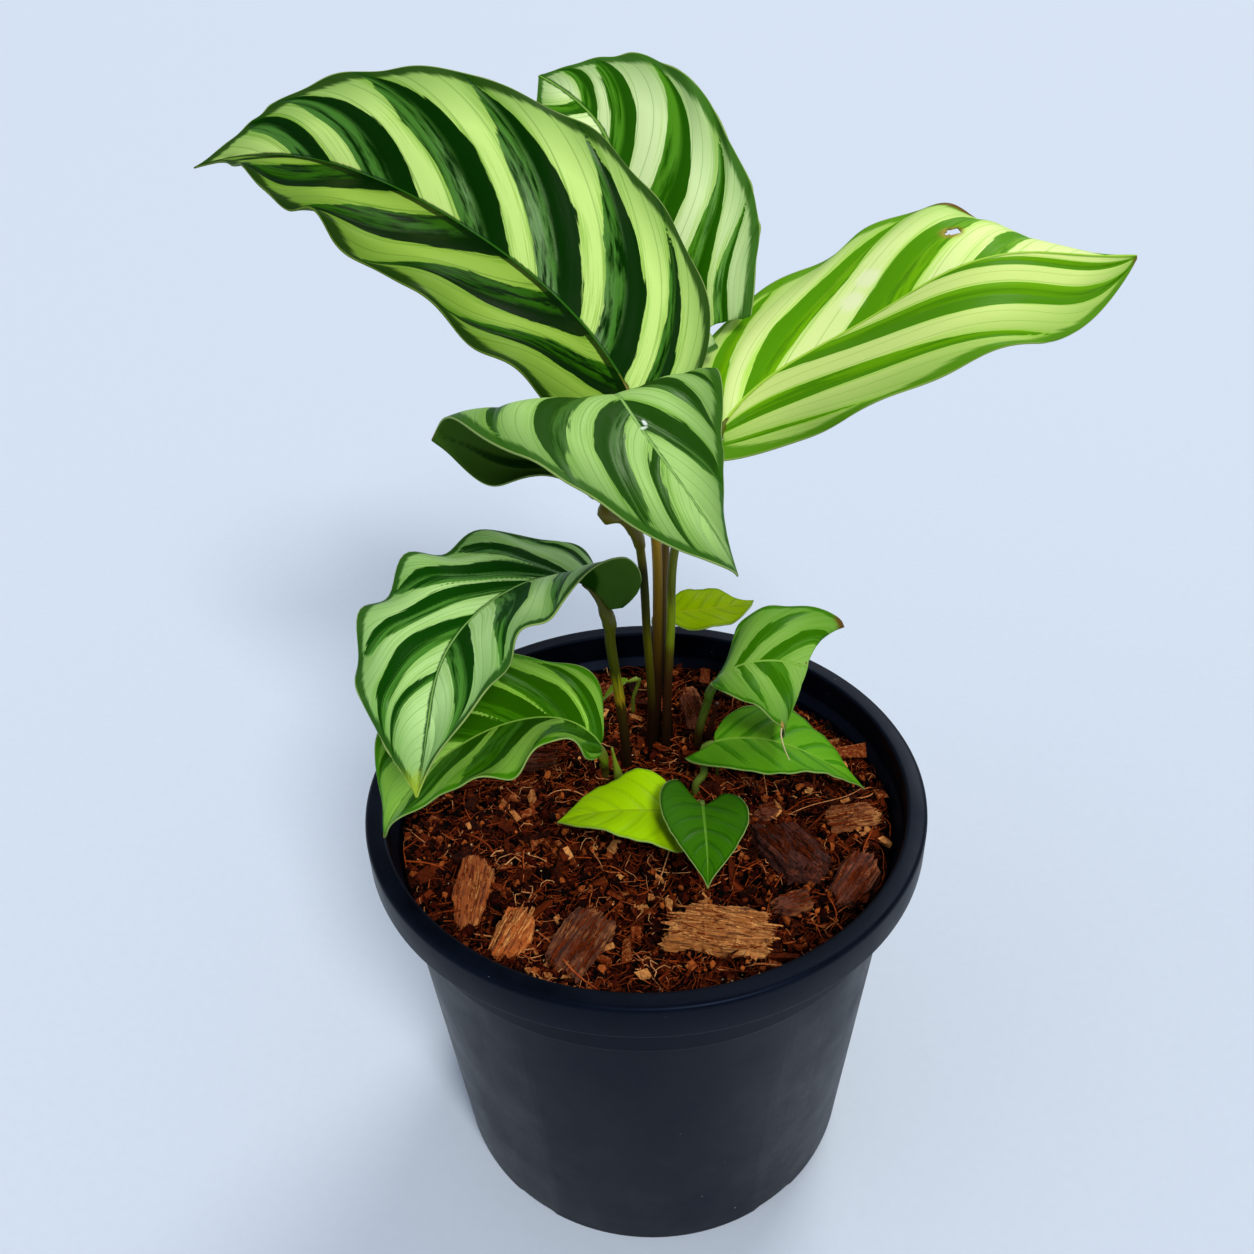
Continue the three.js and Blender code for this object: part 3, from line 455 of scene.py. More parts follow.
# %% [markdown]
# The dark bands follow the side veins, which leave the midrib and sweep forward to the margin.
# Each band is given by the shares of the leaf's length at which it crosses the midrib, the middle
# of its half and nearly the margin, by its width at mid half as a share of the length, and by how
# its width at the midrib compares. A number that counts one for each band, read between the
# bands' middles, then tells the geometry and the finish alike where a side vein runs.
# %% Bands along the side veins
BANDS = {
    "upper_left": (
        ((0.02, 0.115, 0.28, 0.085, 1), (0.18, 0.265, 0.44, 0.11, 0.8),
         (0.38, 0.455, 0.57, 0.115, 1), (0.60, 0.65, 0.73, 0.12, 1.1),
         (0.78, 0.83, 0.9, 0.05, 1)),
        ((-0.03, 0.05, 0.19, 0.06, 1), (0.085, 0.185, 0.33, 0.09, 0.9),
         (0.21, 0.35, 0.50, 0.115, 0.75), (0.36, 0.52, 0.66, 0.11, 0.8),
         (0.55, 0.68, 0.80, 0.10, 1.1), (0.72, 0.815, 0.87, 0.06, 1.3)),
    ),
    "upper_back": (
        ((0.03, 0.12, 0.24, 0.085, 1), (0.20, 0.28, 0.42, 0.11, 1),
         (0.38, 0.46, 0.58, 0.125, 1), (0.60, 0.66, 0.76, 0.11, 1),
         (0.78, 0.83, 0.9, 0.06, 1)),
        ((-0.05, 0.05, 0.30, 0.09, 1), (0.09, 0.22, 0.50, 0.13, 1),
         (0.30, 0.475, 0.70, 0.15, 1), (0.55, 0.745, 0.85, 0.105, 1.4),
         (0.74, 0.87, 0.95, 0.06, 1.1)),
    ),
    "upper_right": (
        ((-0.06, 0.08, 0.25, 0.10, 1), (0.12, 0.31, 0.52, 0.14, 0.55),
         (0.40, 0.58, 0.73, 0.12, 1.2), (0.64, 0.76, 0.84, 0.06, 1)),
        ((-0.4, -0.1, 0.3, 0.10, 1), (-0.15, 0.24, 0.68, 0.18, 0.8),
         (0.22, 0.70, 1.22, 0.33, 0.35), (0.55, 1.5, 2.4, 0.5, 0.2)),
    ),
    "arched_front": (
        ((-0.05, 0.12, 0.3, 0.09, 1), (0.12, 0.28, 0.5, 0.11, 0.9),
         (0.32, 0.46, 0.66, 0.11, 0.9), (0.53, 0.68, 0.79, 0.12, 0.9)),
        ((-0.05, 0.12, 0.32, 0.08, 1), (0.12, 0.33, 0.55, 0.10, 0.9),
         (0.33, 0.53, 0.67, 0.09, 0.9), (0.5, 0.68, 0.8, 0.085, 0.9),
         (0.66, 0.8, 0.9, 0.03, 0.9)),
    ),
    "arched_left": (
        ((0.12, 0.2, 0.32, 0.10, 0.8), (0.34, 0.425, 0.62, 0.13, 0.8),
         (0.55, 0.68, 0.88, 0.14, 0.8)),
        ((-0.03, 0.1, 0.2, 0.07, 0.9), (0.15, 0.275, 0.35, 0.06, 0.9),
         (0.2, 0.4, 0.5, 0.105, 0.8), (0.31, 0.53, 0.65, 0.095, 0.8),
         (0.5, 0.68, 0.84, 0.095, 0.8), (0.66, 0.78, 0.9, 0.03, 0.8)),
    ),
    "low_left": (
        ((-0.1, 0.02, 0.15, 0.14, 1), (0.10, 0.16, 0.32, 0.16, 1),
         (0.31, 0.42, 0.58, 0.20, 1), (0.53, 0.69, 0.85, 0.20, 1)),
        ((0.02, 0.10, 0.25, 0.13, 0.9), (0.16, 0.29, 0.45, 0.15, 0.9),
         (0.30, 0.48, 0.65, 0.15, 0.9), (0.46, 0.66, 0.85, 0.16, 0.9)),
    ),
    "split_right": (
        ((0.05, 0.17, 0.4, 0.20, 1), (0.30, 0.62, 0.85, 0.18, 0.6),
         (0.6, 0.95, 1.1, 0.18, 1)),
        ((0.02, 0.1, 0.2, 0.16, 1), (0.33, 0.40, 0.48, 0.11, 0.9),
         (0.58, 0.78, 0.95, 0.26, 1)),
    ),
}
PLAIN_VEINS = tuple(
    (0.02 + 0.17 * k, 0.16 + 0.165 * k, 0.30 + 0.15 * k, 0.05, 1) for k in range(5)
)
BAND_MID, BAND_END = 0.5, 0.9
BAND_FADE = 0.42
THREAD_WIDTH = 0.008
CLOSEST_VEINS = 0.02


def band_middle(band, a):
    """Share of the leaf's length that a band's middle has reached at a, from midrib to margin."""
    root, mid, end = band[:3]
    first = (a - BAND_MID) * (a - BAND_END) / (BAND_MID * BAND_END)
    second = a * (a - BAND_END) / (BAND_MID * (BAND_MID - BAND_END))
    third = a * (a - BAND_MID) / (BAND_END * (BAND_END - BAND_MID))
    return root * first + mid * second + end * third


def band_reach(band, a):
    """Half the band's width as a share of the length, which fades to a thread at the margin."""
    width = band[3] * (band[4] + (1 - band[4]) * min(a, BAND_MID) / BAND_MID)
    fading = min(max(1 - (a - BAND_MID) / BAND_FADE, 0), 1) ** 0.8
    return (width * fading + THREAD_WIDTH) / 2


def vein_count(bands, t, a):
    """Number that is whole in the middle of each band, and that grows from one band to the next."""
    middles = [band_middle(band, a) for band in bands]
    k = max(0, min(len(bands) - 2, sum(t > middle for middle in middles) - 1))
    return k + (t - middles[k]) / max(middles[k + 1] - middles[k], CLOSEST_VEINS)


def inside_band(bands, t, a):
    """How far inside the nearest band a place lies, as a share of the length, less than 0 outside."""
    return max(band_reach(band, a) - abs(t - band_middle(band, a)) for band in bands)


print("bands on the largest leaf:", [len(half) for half in BANDS["upper_left"]])

# %% [markdown]
# The blade's middle surface is worked out for a share t of the length and a place v across it,
# from -1 at the right margin to 1 at the left one. Beyond the broad form, each side vein lies in
# a narrow furrow with the blade puffed between two of them, and the base corners are rounded. All
# of this relief fades on a small leaf and towards a narrow tip, where it would cross itself.
# %% The shape of a blade
FULLNESS = 1.5
BULGE = 20
LOBE_SPREAD = 1.6
LOBE_FADE = 5
SPLIT_FADE = 5
RIPPLE_EASE = 0.7
CORNER_SHARE = 0.3
CORNER_FADE = 0.05
FURROW_DEPTH = 0.9
FURROW_REACH = 0.13
PUFF = 0.35
FURROWED_LEAF = 60
FURROWED_WIDTH = 12
INSET = 0.55
LEAST_SHARE = 0.7
CRIMPED_LEAF = 70
CRIMP_HEIGHT = 1.2
CRIMP_REACH = 0.5
CRIMP_STOPS = 0.3
CALM_REACH = 0.09
SLENDER_FROM = 0.84
SPURS = ("left_spur", "right_spur")
SPUR_REACH = 0.035


def half_width(leaf, t):
    rise = FULLNESS * leaf["widest"]
    fall = FULLNESS * (1 - leaf["widest"])
    peak = leaf["widest"] ** rise * (1 - leaf["widest"]) ** fall
    oval = t ** rise * max(1 - t, 0) ** fall / peak
    return leaf["width"] / 2 * (oval + leaf.get("split_width", 0) * t ** SPLIT_FADE)


def side_width(leaf, t, side):
    return half_width(leaf, t) * (leaf.get("left_share", 1) if side == LEFT else 1)


def furrow(leaf, veins, a):
    """Depth of the blade's relief: a furrow along each side vein, gone at midrib and margin."""
    off_vein = abs(veins - round(veins))
    valley = math.exp(-off_vein / FURROW_REACH) + PUFF * (0.5 - off_vein)
    across = min(1, 6 * a) * min(1, 5 * (1 - a))
    return FURROW_DEPTH * min(1, leaf["width"] / FURROWED_LEAF) ** 2 * valley * across


def blade_point(leaf, places, first, t, v, veins):
    along, left, up = midrib_axes(leaf, t)
    side = LEFT if v >= 0 else RIGHT
    sign = 1 if v >= 0 else -1
    a = abs(v)
    start = math.radians(between(leaf["fold"][side], t) + BULGE / 2)
    turn = math.radians(-BULGE)
    angle = start + turn * a
    out = (math.sin(angle) - math.sin(start)) / turn
    lift = (math.cos(start) - math.cos(angle)) / turn
    width = side_width(leaf, t, side)
    width = max(width - INSET, LEAST_SHARE * width)
    width *= 1 - leaf.get("slender", 0) * max(0, t - SLENDER_FROM) / (1 - SLENDER_FROM)
    count, height, phase = leaf["wave"][side]
    swell = math.sin(math.pi * min(t, 1)) ** RIPPLE_EASE
    ripple = height * math.sin(math.tau * count * t + math.radians(phase)) * a * a * swell
    ripple *= min(1, max(0, 1 - (t - leaf.get("calm", 1)) / CALM_REACH))
    ripple -= furrow(leaf, veins, a) * min(1, width / FURROWED_WIDTH)
    size = min(1, leaf["width"] / CRIMPED_LEAF) * leaf.get("crimp", 1)
    size *= min(1, (1 - t) / CRIMP_STOPS)
    crimp = math.sin(math.tau * veins + 9 * t) + noise.noise(Vector((1.7 * veins, v, count)))
    ripple += CRIMP_HEIGHT * size * crimp * a ** 5 * swell
    width += CRIMP_REACH * size * (math.cos(math.tau * veins) - 1) * a ** 6 * swell
    spur_at, spur_length = leaf.get(SPURS[side], (0, 0))
    width += spur_length * math.exp(-abs(t - spur_at) / SPUR_REACH) * a ** 8
    ahead = (leaf.get("split_reach", 0) if side == LEFT else 0) * a * a * t ** 3
    ahead -= leaf["lobe"][side] * a ** LOBE_SPREAD * (1 - t) ** LOBE_FADE
    corner = CORNER_SHARE * half_width(leaf, first) * math.exp((first - t) / CORNER_FADE)
    ahead += corner * a ** 6
    return (
        midrib_place(places, t)
        + left * sign * (width * out - ripple * math.sin(angle))
        + up * (width * lift + ripple * math.cos(angle))
        + along * ahead
    )


print("half width of the largest leaf in mm:", round(half_width(LEAVES["upper_left"], 0.29)))

# %% [markdown]
# A blade starts as a flat grid whose X runs along the midrib and whose Y runs across. While the
# grid is still flat, each corner of each face takes what the finish will need: which vein it lies
# by, how far it is inside a band, and how many millimetres it is from margin and midrib. Only
# then do the vertices move to their places in the air, kept inside the solids' box. A Solidify
# modifier later gives the thickness and puts a second, plainer finish on the underside.
# %% Grow a blade
CELL = 0.85
LEAST_ROWS, MOST_ROWS = 24, 190
LEAST_PAIRS, MOST_PAIRS = 8, 48
RAGGED = (90, 25)
BLADE = 0.45
LAST_SHARE = 0.997
FIRST_SHARES = ((60, 0.01), (20, 0.02), (0, 0.05))


def first_share(leaf):
    """Where a blade starts along its midrib, further on for a shorter leaf."""
    return next(share for length, share in FIRST_SHARES if leaf["length"] > length)


def in_hole(face, marks, t, v, reach_t, reach_v):
    """Whether a face lies in the ragged hole about t and v."""
    corner = face.verts[0].index
    (_, own_v), (_, own_t), _ = marks.get((corner, LEFT), marks.get((corner, RIGHT)))
    ragged = 1 + 0.5 * noise.noise(Vector((RAGGED[0] * own_t, RAGGED[1] * own_v, 0)))
    return ((own_t - t) / reach_t) ** 2 + ((own_v - v) / reach_v) ** 2 < ragged


def grow_blade(name, leaf):
    first = first_share(leaf)
    last = 1 if "split_width" in leaf else LAST_SHARE
    halves = BANDS.get(name, (PLAIN_VEINS, PLAIN_VEINS))
    places = midrib_places(leaf)
    rows = min(MOST_ROWS, max(LEAST_ROWS, round(leaf["length"] / CELL)))
    columns = 2 * min(MOST_PAIRS, max(LEAST_PAIRS, round(leaf["width"] / CELL / 2)))
    bm = bmesh.new()
    bmesh.ops.create_grid(bm, x_segments=rows, y_segments=columns, size=1)
    bm.verts.index_update()
    layers = [bm.loops.layers.uv.new(title) for title in ("veins", "bands", "edges")]

    def share(vert):
        even = (vert.co.x + 1) / 2
        eased = (1 - math.cos(math.pi * even)) / 2
        return first + (last - first) * (even + eased) / 2

    marks = {}
    for face in bm.faces:
        side = LEFT if face.calc_center_median().y > 0 else RIGHT
        for loop in face.loops:
            key = (loop.vert.index, side)
            if key not in marks:
                t = share(loop.vert)
                a = abs(loop.vert.co.y)
                width = side_width(leaf, t, side)
                to_tip = (1 - t) * leaf["length"] if last < 1 else width
                veins = vein_count(halves[side], t, a)
                inside = inside_band(halves[side], t, a) * leaf["length"]
                marks[key] = (
                    (veins, a if side == LEFT else -a),
                    (inside, t),
                    (min((1 - a) * width, to_tip), a * width),
                )
            for layer, value in zip(layers, marks[key]):
                loop[layer].uv = value
    for vert in bm.verts:
        t, v = share(vert), vert.co.y
        side = LEFT if v >= 0 else RIGHT
        veins = vein_count(halves[side], t, abs(v))
        vert.co = blade_point(leaf, places, first, t, v, veins) * MM
        for axis in range(3):
            low, high = cad_box[0][axis] + BLADE * MM, cad_box[1][axis] - BLADE * MM
            vert.co[axis] = min(max(vert.co[axis], low), high)
    for t, v, reach_t, reach_v in leaf.get("holes", ()):
        torn = [face for face in bm.faces if in_hole(face, marks, t, v, reach_t, reach_v)]
        bmesh.ops.delete(bm, geom=torn, context="FACES")
    return bm


sample = grow_blade("sprout", LEAVES["sprout"])
print("faces in the smallest blade:", len(sample.faces))
sample.free()

# %% [markdown]
# A prayer plant's blade is thin and waxy. Its pale bands are painted between the side veins, with
# edges that break up in short strokes along the veins. Each dark band has its vein in the middle,
# with a deeper green on the side towards the base, which is painted shade, and a lighter green on
# the side towards the tip, which is painted light and sheen, as the two flanks of a furrow show
# them. A dark edge runs round the blade, then a thin pale rim, and light that falls through from
# behind turns the green warmer and yellower. The colours of each leaf are listed one by one,
# because young leaves are yellower and plainer.
# %% Colours of the leaves
LOOKS = {
    "upper_left": dict(
        light="#d8fc90", warm="#9acc4c", dark="#3f8010", deep="#063000", edge="#0a3c00",
        rib="#34701a", edge_width=2.8, lines=3, glow="#a0dc2c", through=0.2, shade=(4.0, 0.8),
        # Painted shade: the first tint darkens the left half.
        shine=(0, 0.8), painted_half_shade=("#b2bf84", "#ffffff"), marks=((1.0, 0.0, 0.012, 1.5, "#4a2a12"),),
    ),
    "upper_back": dict(
        light="#e6ffba", warm="#b8e276", dark="#4e920e", deep="#246000", edge="#266200",
        rib="#86b84c", edge_width=3.0, lines=4, glow="#a6e02c", through=0.14, shade=(0.8, 0.8),
        shine=(0.2, 0.3),
    ),
    # Painted light: this leaf's colours are paler and yellower, standing in for light shining
    # through.
    "upper_right": dict(
        light="#eaffa6", warm="#bef060", dark="#76b800", deep="#56980a", edge="#559600",
        rib="#b4e04c", edge_width=2.4, lines=4, glow="#d8ff40", through=0.14, shade=(0.4, 0.6),
        # Painted shade: the second tint darkens the right half.
        shine=(0.1, 0.1), painted_half_shade=("#ffffff", "#e4e9d0"), marks=(
            (0.67, 1.0, 0.12, 0.07, "#6e3410"), (0.82, 1.0, 0.1, 0.04, "#8a4a1c"),
            # Painted highlight: the two pale marks on the next line.
            (0.37, 0.25, 0.03, 0.1, "#f6ffca"), (0.42, 0.38, 0.03, 0.1, "#f6ffca"),
            (0.605, 0.46, 0.026, 0.11, "#b08a3c"), (1.0, -0.7, 0.02, 0.6, "#7d5226"),
        ),
    ),
    "arched_front": dict(
        light="#a8d27a", warm="#80b24a", dark="#3a6c1a", deep="#204a0a", edge="#285a0e",
        rib="#8cbc62", edge_width=2.8, lines=4, glow="#90cc30", through=0.15, shade=(0.5, 0.5),
        shine=(0.25, 0.3), marks=(
            (0.575, 0.07, 0.012, 0.025, "#e4f2ec"), (0.59, 0.03, 0.005, 0.05, "#d8ecd8"),
            (0.385, 0.0, 0.006, 0.03, "#d8e8c0"), (0.35, -1.0, 0.025, 0.04, "#8a5a2c"),
            (1.0, 0.0, 0.015, 1.0, "#5a6a20"),
        ),
    ),
    "arched_left": dict(
        light="#c4ee9c", warm="#98ce62", dark="#4a8c24", deep="#0e4403", edge="#185006",
        rib="#86b85c", edge_width=2.2, lines=4, glow="#90cc30", through=0.14, shade=(0.8, 0.8),
        shine=(0.45, 0.45), marks=((1.02, 0.0, 0.09, 2.2, "#a8c63a"),),
    ),
    "low_left": dict(
        light="#aee860", warm="#7cbe2c", dark="#3f8200", deep="#2a6200", edge="#3e8600",
        rib="#8cc048", edge_width=1.8, lines=4, glow="#90d21c", through=0.18, shade=(0.4, 0.4),
        shine=(0.3, 0.3), marks=((1.0, 0.0, 0.02, 1.0, "#9a8a3a"),),
    ),
    "back_small": dict(
        light="#9abc00", warm="#92b600", dark="#8cb000", deep="#82a600", edge="#7ea200",
        rib="#9ab40c", edge_width=1.0, lines=3, glow="#c4dc10", through=0.4, shade=(0, 0),
        shine=(0.2, 0.2),
    ),
    "split_right": dict(
        light="#8ec056", warm="#70aa30", dark="#468800", deep="#347200", edge="#367600",
        rib="#8cc048", edge_width=1.6, lines=4, glow="#90d21c", through=0.2, shade=(0.3, 0.3),
        shine=(0.3, 0.3), marks=(
            (0.975, 0.06, 0.012, 0.025, "#6e5220"), (1.0, 1.0, 0.05, 0.12, "#6b3f1c"),
            (0.66, -1.0, 0.045, 0.09, "#c8a058"),
        ),
    ),
    "low_right": dict(
        light="#66aa20", warm="#74b42c", dark="#529a10", deep="#428a08", edge="#3a800a",
        rib="#86bc3c", edge_width=1.2, lines=4, glow="#90d21c", through=0.2, shade=(0, 0),
        shine=(0.35, 0.35), marks=((1.0, 0.0, 0.012, 1.0, "#a8b44c"),),
    ),
    "front_young": dict(
        light="#b8f000", warm="#c0f404", dark="#b2ea00", deep="#aae200", edge="#a0d600",
        rib="#a8d018", edge_width=1.2, lines=3, glow="#c4e614", through=0.3, shade=(0, 0),
        shine=(0.2, 0.2),
    ),
    "front_heart": dict(
        light="#346e04", warm="#3e7a08", dark="#306904", deep="#2a6003", edge="#265802",
        rib="#62982a", edge_width=1.0, lines=3, glow="#6fb814", through=0.12, shade=(0, 0),
        shine=(0.3, 0.3),
    ),
    "sprout": dict(
        light="#8cb41c", warm="#96bc24", dark="#7ea818", deep="#749e14", edge="#7ca418",
        rib="#a0bc3c", edge_width=0.8, lines=3, glow="#b8dc24", through=0.3, shade=(0, 0),
        shine=(0.1, 0.1),
    ),
}
print("leaf finishes to mix:", len(LOOKS))

# %% [markdown]
# The finish reads the three maps that the blade carries. Streaks are noise drawn out along the
# veins, by counting veins along one axis and millimetres across the blade on the other. Patches
# are the same noise drawn much larger, and threads much finer. They move the edge of a band in and
# out, vary its tone and stretch its gloss, so one pattern runs through the whole finish.
# %% Streaks along the veins
STREAKS_PER_VEIN = 11
STREAK_LENGTH = 9.0
THREADS = (3.7, 0.8, 1)
PATCH_SCALE = 0.16


def leaf_patterns(add, seed):
    """The blade's maps and the noise along its veins, each under its own name."""
    maps = [
        add("SeparateXYZ", [add("UVMap", uv_map=title)]).node.outputs
        for title in ("veins", "bands", "edges")
    ]
    (count, across, _), (inside, t, _), (margin, rib, _) = maps
    on_left = add("Math", (across, 0), operation="GREATER_THAN")
    streak_place = add("CombineXYZ", (
        add("Math", (count, STREAKS_PER_VEIN), operation="MULTIPLY"),
        add("Math", (rib, STREAK_LENGTH), operation="DIVIDE"), on_left,
    ))
    shifted = add("VectorMath", (streak_place, (seed * 7.3, 0, seed * 3.1)), operation="ADD")
    streaks = add("TexNoise", {"Vector": shifted, "Scale": 1, "Detail": 3, "Roughness": 0.6})
    patches = add("TexNoise", {"Vector": shifted, "Scale": PATCH_SCALE, "Detail": 2})
    drawn_out = add("VectorMath", (shifted, THREADS), operation="MULTIPLY")
    threads = add("TexNoise", {"Vector": drawn_out, "Scale": 1, "Detail": 2})
    uneven, sway = (
        add("Math", (pattern, 0.5), operation="SUBTRACT") for pattern in (streaks, patches)
    )
    return SimpleNamespace(
        count=count, across=across, inside=inside, t=t, margin=margin, rib=rib, on_left=on_left,
        streaks=streaks, patches=patches, threads=threads, uneven=uneven, sway=sway,
    )


# %% [markdown]
# Ground, lines and bands come first. Fine lines run between the side veins, the pale ground turns
# warmer in patches and darker towards the margin, and each dark band is deep green on the side
# towards the base, as painted shade, and brushed with a lighter green on the other, as painted
# light and sheen.
# %% Ground and bands
BAND_JAG = 4.2
BAND_SWAY = 2.0
BAND_SOFTNESS = 0.22
LINE_SHARE = 0.42
MOTTLE_PER_MM = 0.07
FADE_WIDTH = 15.0
FADE_SHARE = 0.68


def leaf_bands(add, look, p):
    """The first coats of colour, the fine lines' ridges and where a band has painted light."""
    jag = add("Math", (p.uneven, BAND_JAG, p.inside), operation="MULTIPLY_ADD")
    jag = add("Math", (p.sway, BAND_SWAY, jag), operation="MULTIPLY_ADD")
    in_band = add("MapRange", (jag, -BAND_SOFTNESS, BAND_SOFTNESS), **SMOOTH)
    ridges = add("Math", (p.count, math.pi * look["lines"]), operation="MULTIPLY")
    for operation in ("SINE", "ABSOLUTE"):
        ridges = add("Math", [ridges], operation=operation)
    on_line = add("MapRange", (ridges, 0, 0.2, LINE_SHARE, 0), **SMOOTH)
    mottle = add("Math", (p.patches, p.threads), operation="ADD")
    mottle = add("Math", (p.inside, MOTTLE_PER_MM, mottle), operation="MULTIPLY_ADD")
    warmer = add("MapRange", (mottle, 0.74, 1.16))
    near_margin = add("MapRange", (p.margin, 0, FADE_WIDTH, FADE_SHARE, 0))
    nearest_vein = add("Math", [p.count], operation="ROUND")
    off_vein = add("Math", (p.count, nearest_vein), operation="SUBTRACT")
    # Painted light and shade: a dark band's flank towards the tip is lighter, the other deep green.
    tip_side = add("MapRange", (off_vein, -0.06, 0.1), **SMOOTH)
    brushed = add("MapRange", (p.streaks, 0.4, 0.56))
    painted_lit_flank = add("Math", (tip_side, brushed), operation="MULTIPLY")
    dark = add("Mix", {"Factor": painted_lit_flank, 6: look["deep"], 7: look["dark"]}, **RGBA)
    coats = [
        (warmer, look["warm"]), (on_line, look["dark"]), (near_margin, look["dark"]),
        (in_band, dark),
    ]
    return coats, ridges, add("Math", (painted_lit_flank, in_band), operation="MULTIPLY")


# %% [markdown]
# The next coats follow the blade's outline and its midrib: a deep shade along the midrib, the dark
# edge, the thin pale rim and the midrib itself. Marks of wear come last, and on one leaf a painted
# highlight. Each is a ragged spot, given by its place along and across the blade, its reach in both
# and its colour.
# %% Edge, midrib and marks
RIM_WIDTH = 0.3
RIM_PALE = "#a3bd6c"
RIB_AT_BASE, RIB_AT_TIP = 0.55, 0.22
DEEP_SHADE = 0.92
MARK_SHARE = 0.85


def leaf_details(add, look, p, own_shade):
    """The later coats of colour."""
    off_shade = add("Math", (own_shade, p.rib), operation="SUBTRACT")
    off_shade = add("Math", (off_shade, p.uneven), operation="ADD")
    in_shade = add("MapRange", (off_shade, -0.3, 0.3, 0, DEEP_SHADE), **SMOOTH)
    edge = look["edge_width"]
    off_edge = add("Math", (p.uneven, edge, p.margin), operation="MULTIPLY_ADD")
    in_edge = add("MapRange", (off_edge, 0.75 * edge, 1.25 * edge, 0.9, 0), **SMOOTH)
    in_rim = add("MapRange", (p.margin, 0.5 * RIM_WIDTH, RIM_WIDTH, 0.75, 0))
    rib_width = add("MapRange", (p.t, 0, 1, RIB_AT_BASE, RIB_AT_TIP))
    off_rib = add("Math", (p.rib, rib_width), operation="DIVIDE")
    in_rib = add("MapRange", (off_rib, 0.7, 1.2, 0.9, 0), **SMOOTH)
    coats = [
        (in_shade, look["deep"]), (in_edge, look["edge"]), (in_rim, RIM_PALE),
        (in_rib, look["rib"]),
    ]
    place = add("CombineXYZ", (p.t, p.across))
    # Marks of wear, and on one leaf a painted highlight.
    for mark_t, mark_v, reach_t, reach_v, tint in look.get("marks", ()):
        off = add("VectorMath", (place, (mark_t, mark_v, 0)), operation="SUBTRACT")
        off = add("VectorMath", (off, (1 / reach_t, 1 / reach_v, 0)), operation="MULTIPLY")
        off = add("VectorMath", [off], operation="LENGTH")
        ragged = add("Math", (off, p.threads), operation="ADD")
        coats.append((add("MapRange", (ragged, 1, 1.7, MARK_SHARE, 0), **SMOOTH), tint))
    return coats


# %% [markdown]
# The whole finish lays these coats over the pale ground, each with its own share. The two halves
# may differ by a last tint, which darkens one half as painted shade. Wax makes the painted-light
# part of a dark band shine in streaks, and a share of the light goes through the blade and comes
# out warmer.
# %% Leaf finish
MIDRIB = 0.001
DULL, SHINY = 0.03, 0.6
WARM_SHARE = 0.45
WHITE = "#ffffff"


def leaf_material(name, look, seed):
    material, add = start_material("waxy leaf blade, " + name.replace("_", " "))
    p = leaf_patterns(add, seed)
    own_shade, own_shine = (
        add("MapRange", (p.across, -MIDRIB, MIDRIB, look[key][RIGHT], look[key][LEFT]))
        for key in ("shade", "shine")
    )
    coats, ridges, wet = leaf_bands(add, look, p)
    colour = look["light"]
    for share, tint in coats + leaf_details(add, look, p, own_shade):
        colour = add("Mix", {"Factor": share, 6: colour, 7: tint}, **RGBA)
    # Painted shade: each half's colour is multiplied by its tint, white where it is not shaded.
    left_shade_tint, right_shade_tint = look.get("painted_half_shade", (WHITE, WHITE))
    half_shade_tint = add("Mix", {"Factor": p.on_left, 6: right_shade_tint, 7: left_shade_tint}, **RGBA)
    colour = add("VectorMath", (colour, half_shade_tint), operation="MULTIPLY")
    wet = add("Math", (wet, own_shine), operation="MULTIPLY")
    waxiness = add("MapRange", (wet, 0, 1, DULL, SHINY))
    roughness = add("MapRange", (p.threads, 0.3, 0.7, 0.3, 0.5))
    relief = add("Math", (ridges, 0.6, p.streaks), operation="MULTIPLY_ADD")
    bump = add("Bump", {"Height": relief, "Strength": 0.55, "Distance": 0.16 * MM})
    wax = add("BsdfPrincipled", {
        "Base Color": colour, "Roughness": roughness, "Normal": bump, "IOR": 1.45,
        "Specular IOR Level": waxiness,
    })
    warm_light = add("Mix", {"Factor": WARM_SHARE, 6: colour, 7: look["glow"]}, **RGBA)
    translucent = add("BsdfTranslucent", {"Color": warm_light, "Normal": bump})
    add("OutputMaterial", [add("MixShader", (look["through"], wax, translucent))])
    return material


# %% [markdown]
# The underside has no wax to speak of. It is a plainer green than the face, darkened all over as
# painted shade, with its bands only showing through softly. It takes the same map, which the
# thickness carries round.
# %% Finish of the undersides
UNDERSIDE_SHADE = "#5e7240"
UNDER_GRAIN = 10 / 9 * MM


def underside_material(name, look):
    material, add = start_material("leaf underside, " + name.replace("_", " "))
    inside = add("SeparateXYZ", [add("UVMap", uv_map="bands")])
    soft_band = add("MapRange", (inside, -1, 1), **SMOOTH)
    own = add("Mix", {"Factor": soft_band, 6: look["light"], 7: look["dark"]}, **RGBA)
    # Painted shade: the tint darkens the underside's colour.
    colour = add("VectorMath", (own, linear(UNDERSIDE_SHADE)[:3]), operation="MULTIPLY")
    place = add("TexCoord", output="Object")
    mottle = add("TexNoise", {"Vector": place, "Scale": 1 / UNDER_GRAIN, "Detail": 2})
    blotch = add("MapRange", (mottle, 0.35, 0.75, 0, 0.15))
    mottled = add("Mix", {"Factor": blotch, 6: colour, 7: look["edge"]}, **RGBA)
    bump = add("Bump", {"Height": mottle, "Strength": 0.3, "Distance": 0.1 * MM})
    skin = add("BsdfPrincipled", {
        "Base Color": mottled, "Roughness": 0.5, "Normal": bump, "IOR": 1.42,
        "Specular IOR Level": 0.04,
    })
    translucent = add("BsdfTranslucent", {"Color": colour})
    add("OutputMaterial", [add("MixShader", (look["through"], skin, translucent))])
    return material


